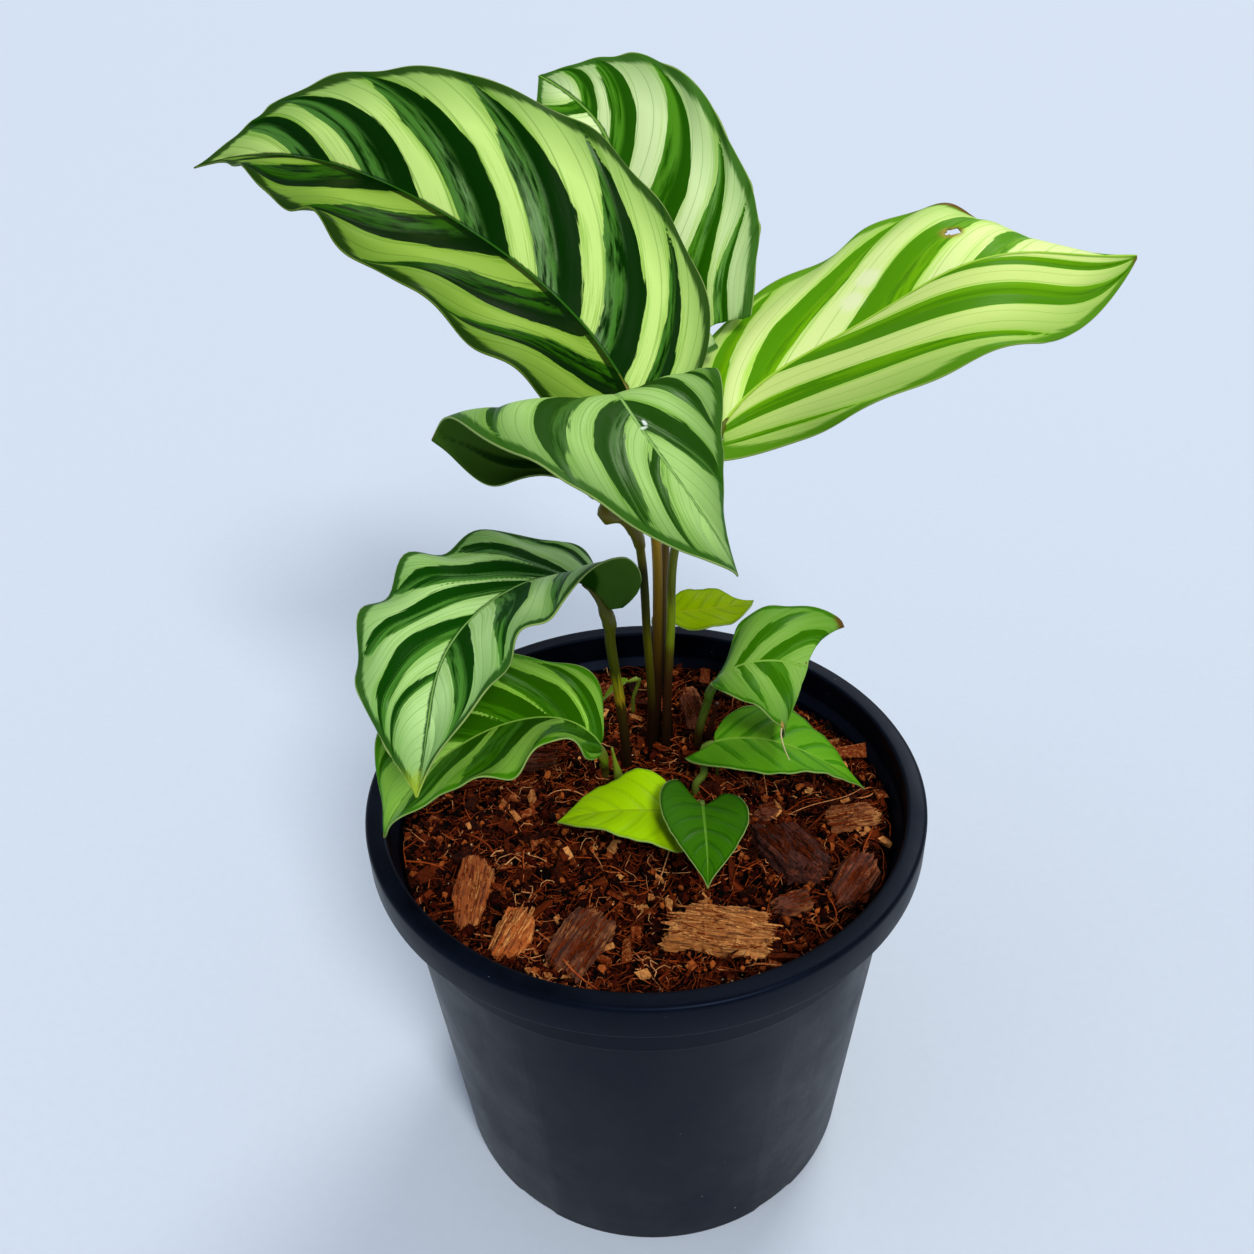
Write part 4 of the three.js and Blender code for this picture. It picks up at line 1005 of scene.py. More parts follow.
for seed, (name, leaf) in enumerate(LEAVES.items()):
    finishes = [leaf_material(name, LOOKS[name], seed), underside_material(name, LOOKS[name])]
    blade = finish_piece(
        "blade_" + name, grow_blade(name, leaf), finishes, ("leaf_" + name,),
    )
    shell = blade.modifiers.new("thickness", "SOLIDIFY")
    shell.thickness = BLADE * MM
    shell.offset = 0
    shell.material_offset = 1
    shell.material_offset_rim = 0
    print(name, "faces:", len(blade.data.polygons))

# %% [markdown]
# Each stem rises from the mix along a smooth curve through a few points, and swells into a joint
# just under its blade, where the leaf turns to fold at night. The curve is the one that the solid
# stem follows, so the finer stem keeps its place. Roots and points are in millimetres. Swells are
# the shares of the course between which the joint lies, and meets, lead and keel say where the
# stem comes up to the midrib and how far it runs on below it. A knob is one more lump, given by
# its place, its reach and its height.
# %% The stems' courses
STEM_SOCKET = 14
STEM_STRAIGHT = 2.5
SOIL_LEVEL = 122.6
SOIL_MOUND = 2.2
MOUND_RADIUS = 34
PLANT_CENTRE = (6, 22)
STEM_MEETS = 0.03
STEM_LEAD = -2.5
LEAD_DROP = 0.6
END_SHARE = 0.75
KEEL_SHARE = 0.09
KEEL_STEPS = 3
SHORT_KEEL = 0.004
STEMS = {
    "upper_left": dict(root=(4.5, 33.5), path=((5.5, 33, 165), (5.5, 33, 199)), radius=1.45,
                       joint=1.8),
    "upper_back": dict(root=(8.5, 34.5), radius=1.25, joint=1.5, meets=0.12, lead=9,
                       path=((7.5, 43, 157), (9, 50.5, 186), (11.5, 62, 225), (12.5, 67, 240))),
    "upper_right": dict(root=(7.5, 29.5), path=((9.5, 34, 164), (11.5, 37, 194)), radius=1.35,
                        joint=1.7),
    "arched_front": dict(root=(2.5, 29), radius=1.2, joint=1.75, swells=(0.82, 0.93),
                         keel=SHORT_KEEL, knob=(0.96, 0.025, 1.1),
                         path=((3, 23, 147), (2, 15.5, 177), (1, 8, 206), (-0.5, 5, 217),
                               (-4, 4, 222.5))),
    "arched_left": dict(root=(-5.2, 19.2), path=((-6.5, 14, 154), (-8.5, 9.5, 179)), radius=1.5,
                        joint=2, swells=(0.915, 0.985)),
    "low_left": dict(root=(-12, 14.8), path=((-12.2, 6, 136),), radius=1.25, joint=1.5),
    "back_small": dict(root=(9, 40), path=((8, 46, 138),), radius=0.8, joint=0.9),
    "split_right": dict(root=(17.8, 28), path=((18.1, 23.7, 135.7), (20.1, 19.4, 149)),
                        radius=1.3, joint=1.4),
    "low_right": dict(root=(15.8, 6.5), path=((18, 7.4, 130),), radius=1.2, joint=1.3),
    "front_young": dict(root=(13.5, -5.5), path=(), radius=0.9, joint=1),
    "front_heart": dict(root=(17.5, -9), path=((17.2, -11, 130),), radius=0.9, joint=1),
    "sprout": dict(root=(-2.6, 46.5), path=((-2.4, 45, 131),), radius=0.6, joint=0.7),
}
SHOOTS = {
    "dry_stem": dict(root=(21, 28.8), path=((22, 27, 134), (23.3, 24.5, 143.5)), radius=1.1,
                     tip=0.7),
    "sheath_left": dict(root=(-8, 12), path=((-8.6, 11.6, 131), (-9.5, 11.5, 138)), radius=1.5,
                        tip=0.35),
    "sheath_right": dict(root=(23, 13.5), path=((24.5, 12.8, 129.5),), radius=1, tip=0.3),
}


def soil_height(x, y):
    """Height of the mix: a low mound about the plant with broad dips, all in millimetres."""
    from_plant = math.hypot(x - PLANT_CENTRE[0], y - PLANT_CENTRE[1])
    mound = SOIL_MOUND * math.exp(-(from_plant / MOUND_RADIUS) ** 2)
    dips = 0.7 * math.sin(x / 11 + 0.6) * math.cos(y / 9 - 0.4)
    return SOIL_LEVEL + mound + dips + 0.4 * math.sin((x + y) / 6)


def stem_foot(root):
    level = soil_height(*root)
    return [Vector((*root, level + rise)) for rise in (-STEM_SOCKET, -STEM_SOCKET / 2, STEM_STRAIGHT)]


def leaf_stem_points(name):
    leaf, stem = LEAVES[name], STEMS[name]
    meets = stem.get("meets", STEM_MEETS)
    along, _, up = midrib_axes(leaf, meets)
    under = BLADE / 2 + 0.6 * END_SHARE * stem["radius"]
    places = midrib_places(leaf)
    approach = Vector(leaf["base"]) + along * stem.get("lead", STEM_LEAD) - up * (under + LEAD_DROP)
    course = stem_foot(stem["root"]) + [Vector(p) for p in stem["path"]] + [approach]
    for step in range(KEEL_STEPS + 1):
        t = meets + stem.get("keel", KEEL_SHARE) * step / KEEL_STEPS
        drop = under * (1 - 0.7 * step / KEEL_STEPS)
        course.append(midrib_place(places, t) - midrib_axes(leaf, t)[2] * drop)
    return course


print("stems and shoots:", len(STEMS) + len(SHOOTS))

# %% [markdown]
# A centripetal curve passes through every point without loops or overshoot, however unevenly the
# points are spaced. Rings are set at even steps along it, and each ring's sideways direction is
# carried on from the last one, so the stem never twists.
# %% A smooth curve through points
SAMPLES = 24
CLOSEST = 1e-3


def smooth_course(points):
    """Close-set places along the centripetal curve through the points."""
    ends = [2 * points[0] - points[1]] + points + [2 * points[-1] - points[-2]]
    places = []
    for before, start, end, after in zip(ends, ends[1:], ends[2:], ends[3:]):
        reach = (end - start).length ** 0.5
        back = max((start - before).length ** 0.5, CLOSEST)
        onward = max((after - end).length ** 0.5, CLOSEST)
        leaving = (start - before) / back - (end - before) / (back + reach) + (end - start) / reach
        arriving = (end - start) / reach - (after - start) / (reach + onward) + (after - end) / onward
        leaving, arriving = leaving * reach, arriving * reach
        for i in range(SAMPLES):
            f = i / SAMPLES
            places.append(
                start * (2 * f ** 3 - 3 * f ** 2 + 1) + leaving * (f ** 3 - 2 * f ** 2 + f)
                + end * (3 * f ** 2 - 2 * f ** 3) + arriving * (f ** 3 - f ** 2)
            )
    return places + [points[-1]]


def even_rings(places, step):
    """Rings at even steps: for each, its share, its place and two directions across the course."""
    walked = [0]
    for a, b in zip(places, places[1:]):
        walked.append(walked[-1] + (b - a).length)
    total = walked[-1]
    count = max(8, round(total / step))
    side = Vector((1, 0, 0))
    rings = []
    k = 0
    for i in range(count + 1):
        wanted = total * i / count
        while k < len(places) - 2 and walked[k + 1] < wanted:
            k += 1
        f = (wanted - walked[k]) / (walked[k + 1] - walked[k])
        along = (places[k + 1] - places[k]).normalized()
        side = (side - along * side.dot(along)).normalized()
        rings.append((i / count, places[k].lerp(places[k + 1], min(f, 1)), side, along.cross(side)))
    return rings, total


front_length = even_rings(smooth_course(leaf_stem_points("arched_front")), 1.5)[1]
print("length of the front stem in mm:", round(front_length))

# %% [markdown]
# A stem's mesh is a cylinder with extra rings cut into its side, which are then carried to their
# places on the course. Its map counts millimetres up the stem and turns round it, for the streaks.
# The ringed cylinder is a helper of its own, because the fibres in the mix start from one too.
# %% Bend a cylinder along a course
STEM_SIDES = 18
RING_STEP = 1.2
USUAL_SWELLS = (0.9, 0.975)
FOOT_SWELL, FOOT_SHARE = 0.25, 0.25
RIM_HEIGHT, RIM_REACH = 0.2, 0.8
THIN_REACH = 0.03
GROOVES, GROOVE_DEPTH = 5, 0.05
WART_HEIGHT, WART_SIZE, WART_START = 0.3, 1.6, 0.02
KEEL_THINNING = 0.75


def ringed_cylinder(sides, rings):
    """Upright cylinder of radius 1 and height 1 with this many rings of vertices."""
    bm = bmesh.new()
    bmesh.ops.create_cone(bm, cap_ends=True, segments=sides, radius1=1, radius2=1, depth=1)
    upright = [e for e in bm.edges if abs(e.verts[0].co.z - e.verts[1].co.z) > 0.5]
    bmesh.ops.subdivide_edges(bm, edges=upright, cuts=rings - 2, use_grid_fill=True)
    return bm


def bend_cylinder(course, radius_at, sides=STEM_SIDES, step=RING_STEP):
    rings, total = even_rings(smooth_course(course), step)
    bm = ringed_cylinder(sides, len(rings))
    along = bm.loops.layers.uv.new("along")
    for face in bm.faces:
        turns = [math.atan2(loop.vert.co.y, loop.vert.co.x) / math.tau for loop in face.loops]
        wraps = max(turns) - min(turns) > 0.5
        for loop, turn in zip(face.loops, turns):
            loop[along].uv = ((loop.vert.co.z + 0.5) * total, turn + (1 if wraps and turn < 0 else 0))
    for vert in bm.verts:
        share, place, side, other = rings[round((vert.co.z + 0.5) * (len(rings) - 1))]
        angle = math.atan2(vert.co.y, vert.co.x)
        reach = radius_at(share, angle, total)
        vert.co = (place + (side * math.cos(angle) + other * math.sin(angle)) * reach) * MM
    return bm


def leaf_stem_radius(stem, keel):
    radius, joint = stem["radius"], stem["joint"]
    start, stop = stem.get("swells", USUAL_SWELLS)
    knob_at, knob_reach, knob_height = stem.get("knob", (1, 1, 0))

    def radius_at(share, angle, total):
        share, past = share * total / (total - keel), (share - 1) * total + keel
        foot = FOOT_SWELL * radius * max(0, 1 - share / FOOT_SHARE)
        middle, half = (start + stop) / 2, (stop - start) / 2
        swelling = (joint - radius) * math.exp(-abs((share - middle) / half) ** 6)
        rim = RIM_HEIGHT * radius * math.exp(-((share - start) * total / RIM_REACH) ** 2)
        thinning = (1 - END_SHARE) * radius * min(max((share - stop) / THIN_REACH, 0), 1)
        groove = GROOVE_DEPTH * radius * math.cos(GROOVES * angle + 3 * share)
        warts = min(max((share - start) / WART_START, 0), 1) * WART_HEIGHT * radius
        spot = (share * total / WART_SIZE, math.cos(angle), math.sin(angle))
        lumps = warts * noise.noise(Vector(spot))
        narrowing = 1 - KEEL_THINNING * min(max(past / keel, 0), 1)
        knob = knob_height * math.exp(-((share - knob_at) / knob_reach) ** 2)
        return (radius + foot + swelling + rim - thinning + groove + lumps + knob) * narrowing
    return radius_at


def shoot_radius(shoot):
    def radius_at(share, angle, total):
        f = min(max((share - 0.5) / 0.5, 0), 1)
        thinning = f * f * (3 - 2 * f)
        return shoot["radius"] + (shoot["tip"] - shoot["radius"]) * thinning
    return radius_at


print("rings a centimetre:", round(10 / RING_STEP))

# %% [markdown]
# A stem is fleshy and a little glossy, streaked lengthwise. Its colour runs up it from nearly
# black brown at the foot, where it comes out of the mix, through olive or golden brown to the joint.
# Some stems have a yellow-green stretch where an old sheath has come away.
# %% Stem finish
STEM_LOOKS = {
    "upper_left": ((0, "#0c0502"), (0.2, "#2a1604"), (0.45, "#6a5208"), (0.6, "#94740e"),
                   (1, "#7d6c14")),
    "upper_back": ((0, "#0c0502"), (0.2, "#261404"), (0.5, "#5a4608"), (1, "#7d6c14")),
    "upper_right": ((0, "#0c0502"), (0.2, "#341c06"), (0.27, "#4c4204"), (0.3, "#6f8408"),
                    (0.38, "#738a0a"), (0.43, "#4c5606"), (1, "#606c16")),
    "arched_front": ((0, "#0c0502"), (0.15, "#261604"), (0.38, "#5a5808"), (0.5, "#34340c"),
                     (0.62, "#1e1c0c"), (0.66, "#6a5c14"), (0.8, "#6e6618"), (1, "#2c4a0c")),
    "arched_left": ((0, "#120804"), (0.12, "#2c2008"), (0.23, "#3c3208"), (0.255, "#b49a1c"),
                    (0.31, "#8a8c14"), (0.34, "#3e440a"), (0.5, "#5a5c0c"), (0.62, "#66641a"),
                    (1, "#4a3c10")),
    "low_left": ((0, "#3c3410"), (0.08, "#5c6a14"), (1, "#86a02c")),
    "back_small": ((0, "#4a3d18"), (0.1, "#6f7d20"), (1, "#8a9a24")),
    "split_right": ((0, "#2a180c"), (0.05, "#5a4414"), (0.14, "#64802a"), (1, "#7a9a34")),
    "low_right": ((0, "#4a4a1c"), (0.06, "#6a8a2c"), (1, "#86a83c")),
    "front_young": ((0, "#4e5a1c"), (0.05, "#7d9a2c"), (1, "#8fae34")),
    "front_heart": ((0, "#3f4a18"), (0.05, "#6d8a2c"), (1, "#84a038")),
    "sprout": ((0, "#6a7a28"), (0.06, "#86a430"), (1, "#9ab83c")),
    "dry_stem": ((0, "#2a140c"), (0.08, "#5b3220"), (1, "#7a4a28")),
    "sheath_left": ((0, "#5a6a1c"), (0.05, "#86a42c"), (1, "#a6bf3c")),
    "sheath_right": ((0, "#4a4018"), (0.03, "#74822c"), (1, "#8aa040")),
}
TALLEST_RISE = 130 * MM
STREAK_PER_MM, STREAKS_ROUND = 0.07, 16


def stem_material(name, stops, seed):
    material, add = start_material("fleshy stem, " + name.replace("_", " "))
    length, turn, _ = add("SeparateXYZ", [add("UVMap", uv_map="along")]).node.outputs
    stretched = add("CombineXYZ", (
        add("Math", (length, STREAK_PER_MM), operation="MULTIPLY"),
        add("Math", (turn, STREAKS_ROUND), operation="MULTIPLY"), seed,
    ))
    fibres = add("TexNoise", {"Vector": stretched, "Scale": 1, "Detail": 4, "Roughness": 0.6})
    height = add("SeparateXYZ", [add("TexCoord", output="Object")], output="Z")
    rise = add("MapRange", (height, SOIL_LEVEL * MM, SOIL_LEVEL * MM + TALLEST_RISE))
    uneven = add("Math", (fibres, 0.5), operation="SUBTRACT")
    stirred = add("Math", (uneven, 0.12, rise), operation="MULTIPLY_ADD")
    ramp = add("ValToRGB", [stirred])
    band = ramp.node.color_ramp
    while len(band.elements) < len(stops):
        band.elements.new(0.5)
    for element, (place, tint) in zip(band.elements, stops):
        element.position = place
        element.color = linear(tint)
    streaked = add("MapRange", (fibres, 0.35, 0.65, 0, 0.45))
    colour = add("Mix", {"Factor": streaked, 6: ramp, 7: "#1c1206"}, **RGBA)
    bump = add("Bump", {"Height": fibres, "Strength": 0.4, "Distance": 0.2 * MM})
    flesh = add("BsdfPrincipled", {
        "Base Color": colour, "Roughness": 0.4, "Normal": bump, "IOR": 1.42,
        "Specular IOR Level": 0.3,
    })
    add("OutputMaterial", [flesh])
    return material


for seed, (name, stem) in enumerate(STEMS.items()):
    keel = stem.get("keel", KEEL_SHARE) * LEAVES[name]["length"]
    bm = bend_cylinder(leaf_stem_points(name), leaf_stem_radius(stem, keel))
    finish = stem_material(name, STEM_LOOKS[name], seed)
    finish_piece("petiole_" + name, bm, [finish], ("stem_" + name,))
for seed, (name, shoot) in enumerate(SHOOTS.items(), len(STEMS)):
    course = stem_foot(shoot["root"]) + [Vector(p) for p in shoot["path"]]
    finish = stem_material(name, STEM_LOOKS[name], seed)
    finish_piece(name + "_fine", bend_cylinder(course, shoot_radius(shoot)), [finish], (name,))
print("stems made:", len(STEMS), "and shoots:", len(SHOOTS))

# %% [markdown]
# The potting mix is coarse coir: dark crumbs and short, curly, red-brown fibres with black gaps
# between them. Its surface begins as a square grid that is drawn out to a disc, so that its edge
# follows the pot's wall. Clods and finer crumbs come from the cells of two Voronoi patterns, and
# roughness from fractal noise. Its tone falls with depth, so the gaps are darkened with painted
# shade. The edge is then drawn down along the wall and closed below.
# %% Shape of the mix
MIX_RADIUS = COLLAR_RADIUS - WALL - 0.5
MIX_CELLS = 290
CLOD = 6.4
CRUMB = 1.6
MIX_DEPTH = 4.8
CLOD_SHARE, CLOD_EDGE = 0.75, 2.4
CRUMB_HEIGHT, CRUMB_LEVEL, CRUMB_EDGE = 0.9, 0.75, 2.6
ROUGH_HEIGHT, ROUGH_SIZE = 0.55, 2.1
TONE_LEVEL, GAP_SHADE_PER_MM = 0.55, 0.4


def mix_relief(x, y):
    """Height of crumbs and gaps about the mix's broad surface, in millimetres."""
    near, second = noise.voronoi(Vector((x / CLOD, y / CLOD, 0.3)))[0][:2]
    clods = min(1, (second - near) * CLOD_EDGE)
    close, next_close = noise.voronoi(Vector((x / CRUMB, y / CRUMB, 4.7)))[0][:2]
    crumbs = min(1, (next_close - close) * CRUMB_EDGE)
    rough = noise.fractal(Vector((x / ROUGH_SIZE, y / ROUGH_SIZE, 9.1)), 0.9, 2.1, 4)
    fine = CRUMB_HEIGHT * (crumbs - CRUMB_LEVEL) + ROUGH_HEIGHT * rough
    return CLOD_SHARE * (clods - 1) * MIX_DEPTH + fine


def shape_mix():
    bm = bmesh.new()
    bmesh.ops.create_grid(bm, x_segments=MIX_CELLS, y_segments=MIX_CELLS, size=1)
    rim = [edge for edge in bm.edges if edge.is_boundary]
    tone_map = bm.loops.layers.uv.new("tone")
    for vert in bm.verts:
        u, v = vert.co.x, vert.co.y
        x = MIX_RADIUS * u * math.sqrt(1 - v * v / 2)
        y = MIX_RADIUS * v * math.sqrt(1 - u * u / 2)
        relief = mix_relief(x, y)
        vert.co = Vector((x, y, soil_height(x, y) + relief)) * MM
        for loop in vert.link_loops:
            # Painted shade: the tone is lower where the relief lies deeper.
            loop[tone_map].uv = (TONE_LEVEL + GAP_SHADE_PER_MM * relief, 0)
    levels = [(NECK_HEIGHT, NECK_RADIUS - WALL - 0.5), (FLOOR + 1.4, BASE_RADIUS - WALL - 0.6),
              (FLOOR + 0.4, BASE_RADIUS - WALL - 1.6)]
    for level, radius in levels:
        grown = bmesh.ops.extrude_edge_only(bm, edges=rim)["geom"]
        rim = [edge for edge in grown if isinstance(edge, bmesh.types.BMEdge) and edge.is_boundary]
        for vert in {vert for edge in rim for vert in edge.verts}:
            flat = Vector((vert.co.x, vert.co.y, 0)).normalized() * radius * MM
            vert.co = Vector((flat.x, flat.y, level * MM))
    bmesh.ops.holes_fill(bm, edges=rim, sides=0)
    bmesh.ops.recalc_face_normals(bm, faces=bm.faces)
    return bm


mix_bm = shape_mix()
print("faces in the mix:", len(mix_bm.faces))

# %% [markdown]
# Thousands of crumbs and fibres lie on the mix. One small template is made with an operator and
# doubled until there are enough, so its vertices come back in the same order in every copy. Each
# copy is then laid by a seeded draw of its own, and a map keeps its tone for the finish.
# %% Make many from one


def many(bm, doublings, seed, lay):
    """Doubles a template. For each copy, lay draws a tone and the places of its corners."""
    template = [vert.co.copy() for vert in bm.verts]
    faces = len(bm.faces)
    for _ in range(doublings):
        bmesh.ops.duplicate(bm, geom=bm.verts[:] + bm.edges[:] + bm.faces[:])
    draw = random.Random(seed)
    verts, tones = bm.verts[:], []
    for first in range(0, len(verts), len(template)):
        tone, corners = lay(draw, template)
        tones.append(tone)
        for vert, corner in zip(verts[first:first + len(template)], corners):
            vert.co = corner
    tone_map = bm.loops.layers.uv.new("tone")
    for i, face in enumerate(bm.faces):
        for loop in face.loops:
            loop[tone_map].uv = (tones[i // faces], (i % faces) / faces)
    return bm


GAP_SHADE, DARKEST = 0.15, 0.2


def tone_with_gap_shade(x, y, tone):
    """A copy's tone, with painted shade: darker the deeper it lies between the clods."""
    return tone * min(1, max(DARKEST, 1 + GAP_SHADE * mix_relief(x, y)))


def any_spot(draw, radius=MIX_RADIUS - 1.5):
    """An even draw of a place on the mix."""
    angle, reach = draw.random() * math.tau, radius * math.sqrt(draw.random())
    return reach * math.cos(angle), reach * math.sin(angle)


print("a place drawn on the mix in mm:", [round(side) for side in any_spot(random.Random(1))])

# %% [markdown]
# A coir fibre is a bent thread, finer than a millimetre. Each one starts as a thin cylinder
# with a few rings and takes a curly course along the surface: its heading wanders, and its ends
# dip into the mix while its middle lifts a little. Straws are the stiffer ones, which stand out.
# %% Coir fibres
FIBRES = {
    "coir_short": dict(doublings=12, rings=5, sides=3, length=(3, 11), thick=(0.08, 0.26),
                       curl=1.6, lift=1.3, seed=11),
    "coir_long": dict(doublings=8, rings=14, sides=4, length=(10, 38), thick=(0.1, 0.24),
                      curl=0.8, lift=2.8, seed=12),
    "coir_straws": dict(doublings=5, rings=8, sides=5, length=(12, 30), thick=(0.16, 0.34),
                        curl=0.3, lift=7.0, seed=13),
}
FIBRE_DROOP = 0.4
FIBRE_TAPER = 0.55


def coir_fibres(kind):
    steps = kind["rings"] - 1

    def lay(draw, template):
        x, y = any_spot(draw)
        length = draw.uniform(*kind["length"])
        thick = draw.uniform(*kind["thick"])
        heading = draw.random() * math.tau
        curl = draw.gauss(0, kind["curl"])
        sway = draw.gauss(0, kind["curl"])
        lift = kind["lift"] * draw.random() ** 2
        sink = draw.uniform(-0.1, 1.8)
        tone = tone_with_gap_shade(x, y, draw.random())
        hollow = FIBRE_DROOP * mix_relief(x, y)
        places = []
        for ring in range(steps + 1):
            share = ring / steps
            base = soil_height(x, y) + hollow - sink
            places.append(Vector((x, y, base + lift * math.sin(math.pi * share) ** 0.7)))
            turn = heading + curl * share + sway * math.sin(4 * share)
            x += length / steps * math.cos(turn)
            y += length / steps * math.sin(turn)
            inward = min(1, (MIX_RADIUS - 0.8) / max(math.hypot(x, y), 1))
            x, y = x * inward, y * inward
        corners = []
        for corner in template:
            ring = round((corner.z + 0.5) * steps)
            ahead = places[min(ring + 1, steps)] - places[max(ring - 1, 0)]
            across = ahead.cross(Vector((0, 0, 1))).normalized()
            above = across.cross(ahead).normalized()
            taper = thick * (1 - FIBRE_TAPER * abs(2 * ring / steps - 1) ** 3)
            corners.append((places[ring] + across * corner.x * taper + above * corner.y * taper) * MM)
        return tone, corners
    return many(ringed_cylinder(kind["sides"], kind["rings"]), kind["doublings"], kind["seed"], lay)


for name, kind in FIBRES.items():
    print(name, "strands:", 2 ** kind["doublings"])

# %% [markdown]
# Between the fibres lie crumbs of pith and small flakes of husk. Crumbs are rough balls of twenty
# faces, squashed and jittered; flakes and shards are thin, uneven chips, most of them lying nearly
# flat. Slim and flat are a piece's width and height as shares of its length, and tilt is how far
# it leans, in radians.
# %% Crumbs and flakes
LOOSE_BITS = {
    "pith_crumbs": dict(doublings=13, size=(0.45, 2.0), flat=(0.5, 0.95), slim=(0.5, 0.9), tilt=3.0,
                        seed=21, cube=False, tones="crumb"),
    "husk_flakes": dict(doublings=10, size=(1.2, 4.2), flat=(0.1, 0.35), slim=(0.3, 0.8), tilt=0.5,
                        seed=22, cube=True, tones="flake"),
    "husk_shards": dict(doublings=7, size=(4.0, 9.0), flat=(0.08, 0.25), slim=(0.12, 0.5), tilt=0.3,
                        seed=24, cube=True, tones="flake", tone=0.6),
    "pale_specks": dict(doublings=8, size=(0.25, 0.6), flat=(0.5, 1.0), slim=(0.5, 0.9), tilt=3.0,
                        seed=23, cube=True, tones="speck"),
}


def loose_bits(kind):
    bm = bmesh.new()
    if kind["cube"]:
        bmesh.ops.create_cube(bm, size=1.5)
    else:
        bmesh.ops.create_icosphere(bm, subdivisions=1, radius=1)

    def lay(draw, template):
        x, y = any_spot(draw)
        reach = draw.uniform(*kind["size"]) * (0.5 + 0.5 * draw.random())
        stretch = Vector((1, draw.uniform(*kind["slim"]), draw.uniform(*kind["flat"])))
        turn = Euler((draw.gauss(0, kind["tilt"]), draw.gauss(0, kind["tilt"]),
                      draw.random() * math.tau))
        rise = mix_relief(x, y) + draw.uniform(-0.1, 0.5) * reach
        middle = Vector((x, y, soil_height(x, y) + rise))
        tone = tone_with_gap_shade(x, y, kind.get("tone", 1) * draw.random())
        corners = []
        for corner in template:
            rough = corner * draw.uniform(0.6, 1.2) * reach
            bent = Vector([a * b for a, b in zip(rough, stretch)])
            bent.rotate(turn)
            corners.append((middle + bent) * MM)
        return tone, corners
    return many(bm, kind["doublings"], kind["seed"], lay)


print("crumbs:", 2 ** LOOSE_BITS["pith_crumbs"]["doublings"])

# %% [markdown]
# Coir soaks up water, so the mix looks deep brown with red in it, and only the dry ends and the
# flakes turn tan. The fibres and crumbs take their tone from the number that each copy carries,
# and the mix from one that each vertex carries; both are darker between the clods as painted shade.
# %% Finish of the mix
MIX_TONES = {
    "mix": ("#020000", "#1c0401", "#64240a"),
    "fibre": ("#220601", "#a04418", "#f2b474"),
    "crumb": ("#080100", "#451003", "#b86028"),
    "flake": ("#160401", "#6c280a", "#eca65e"),
    "speck": ("#b98e5a", "#dcc08a", "#efe6cf"),
}
GRIT = 1.1 * MM
MIDDLE_TONE = 0.55


def mix_material(name, tones):
    material, add = start_material(name)
    place = add("TexCoord", output="Object")
    grit = add("TexNoise", {"Vector": place, "Scale": 1 / GRIT, "Detail": 5, "Roughness": 0.7})
    carried = add("SeparateXYZ", [add("UVMap", uv_map="tone")])
    uneven = add("Math", (grit, 0.5), operation="SUBTRACT")
    tone = add("Math", (uneven, 0.9, carried), operation="MULTIPLY_ADD")
    dark, middle, pale = tones
    to_middle = add("MapRange", (tone, 0, MIDDLE_TONE))
    to_pale = add("MapRange", (tone, MIDDLE_TONE, 1))
    lower = add("Mix", {"Factor": to_middle, 6: dark, 7: middle}, **RGBA)
    colour = add("Mix", {"Factor": to_pale, 6: lower, 7: pale}, **RGBA)
    bump = add("Bump", {"Height": grit, "Strength": 0.8, "Distance": 0.5 * MM})
    damp = add("BsdfPrincipled", {
        "Base Color": colour, "Roughness": 0.75, "Normal": bump, "IOR": 1.4,
        "Specular IOR Level": 0.08,
    })
    add("OutputMaterial", [damp])
    return material


damp_mix = mix_material("damp coir pith", MIX_TONES["mix"])
finish_piece("potting_mix_fine", mix_bm, [damp_mix], ("soil",))
fibre_finish = mix_material("coir fibre", MIX_TONES["fibre"])
for name, kind in FIBRES.items():
    finish_piece(name, coir_fibres(kind), [fibre_finish])
for name, kind in LOOSE_BITS.items():
    finish = mix_material("coir " + name.split("_")[1], MIX_TONES[kind["tones"]])
    finish_piece(name, loose_bits(kind), [finish], smooth=False)

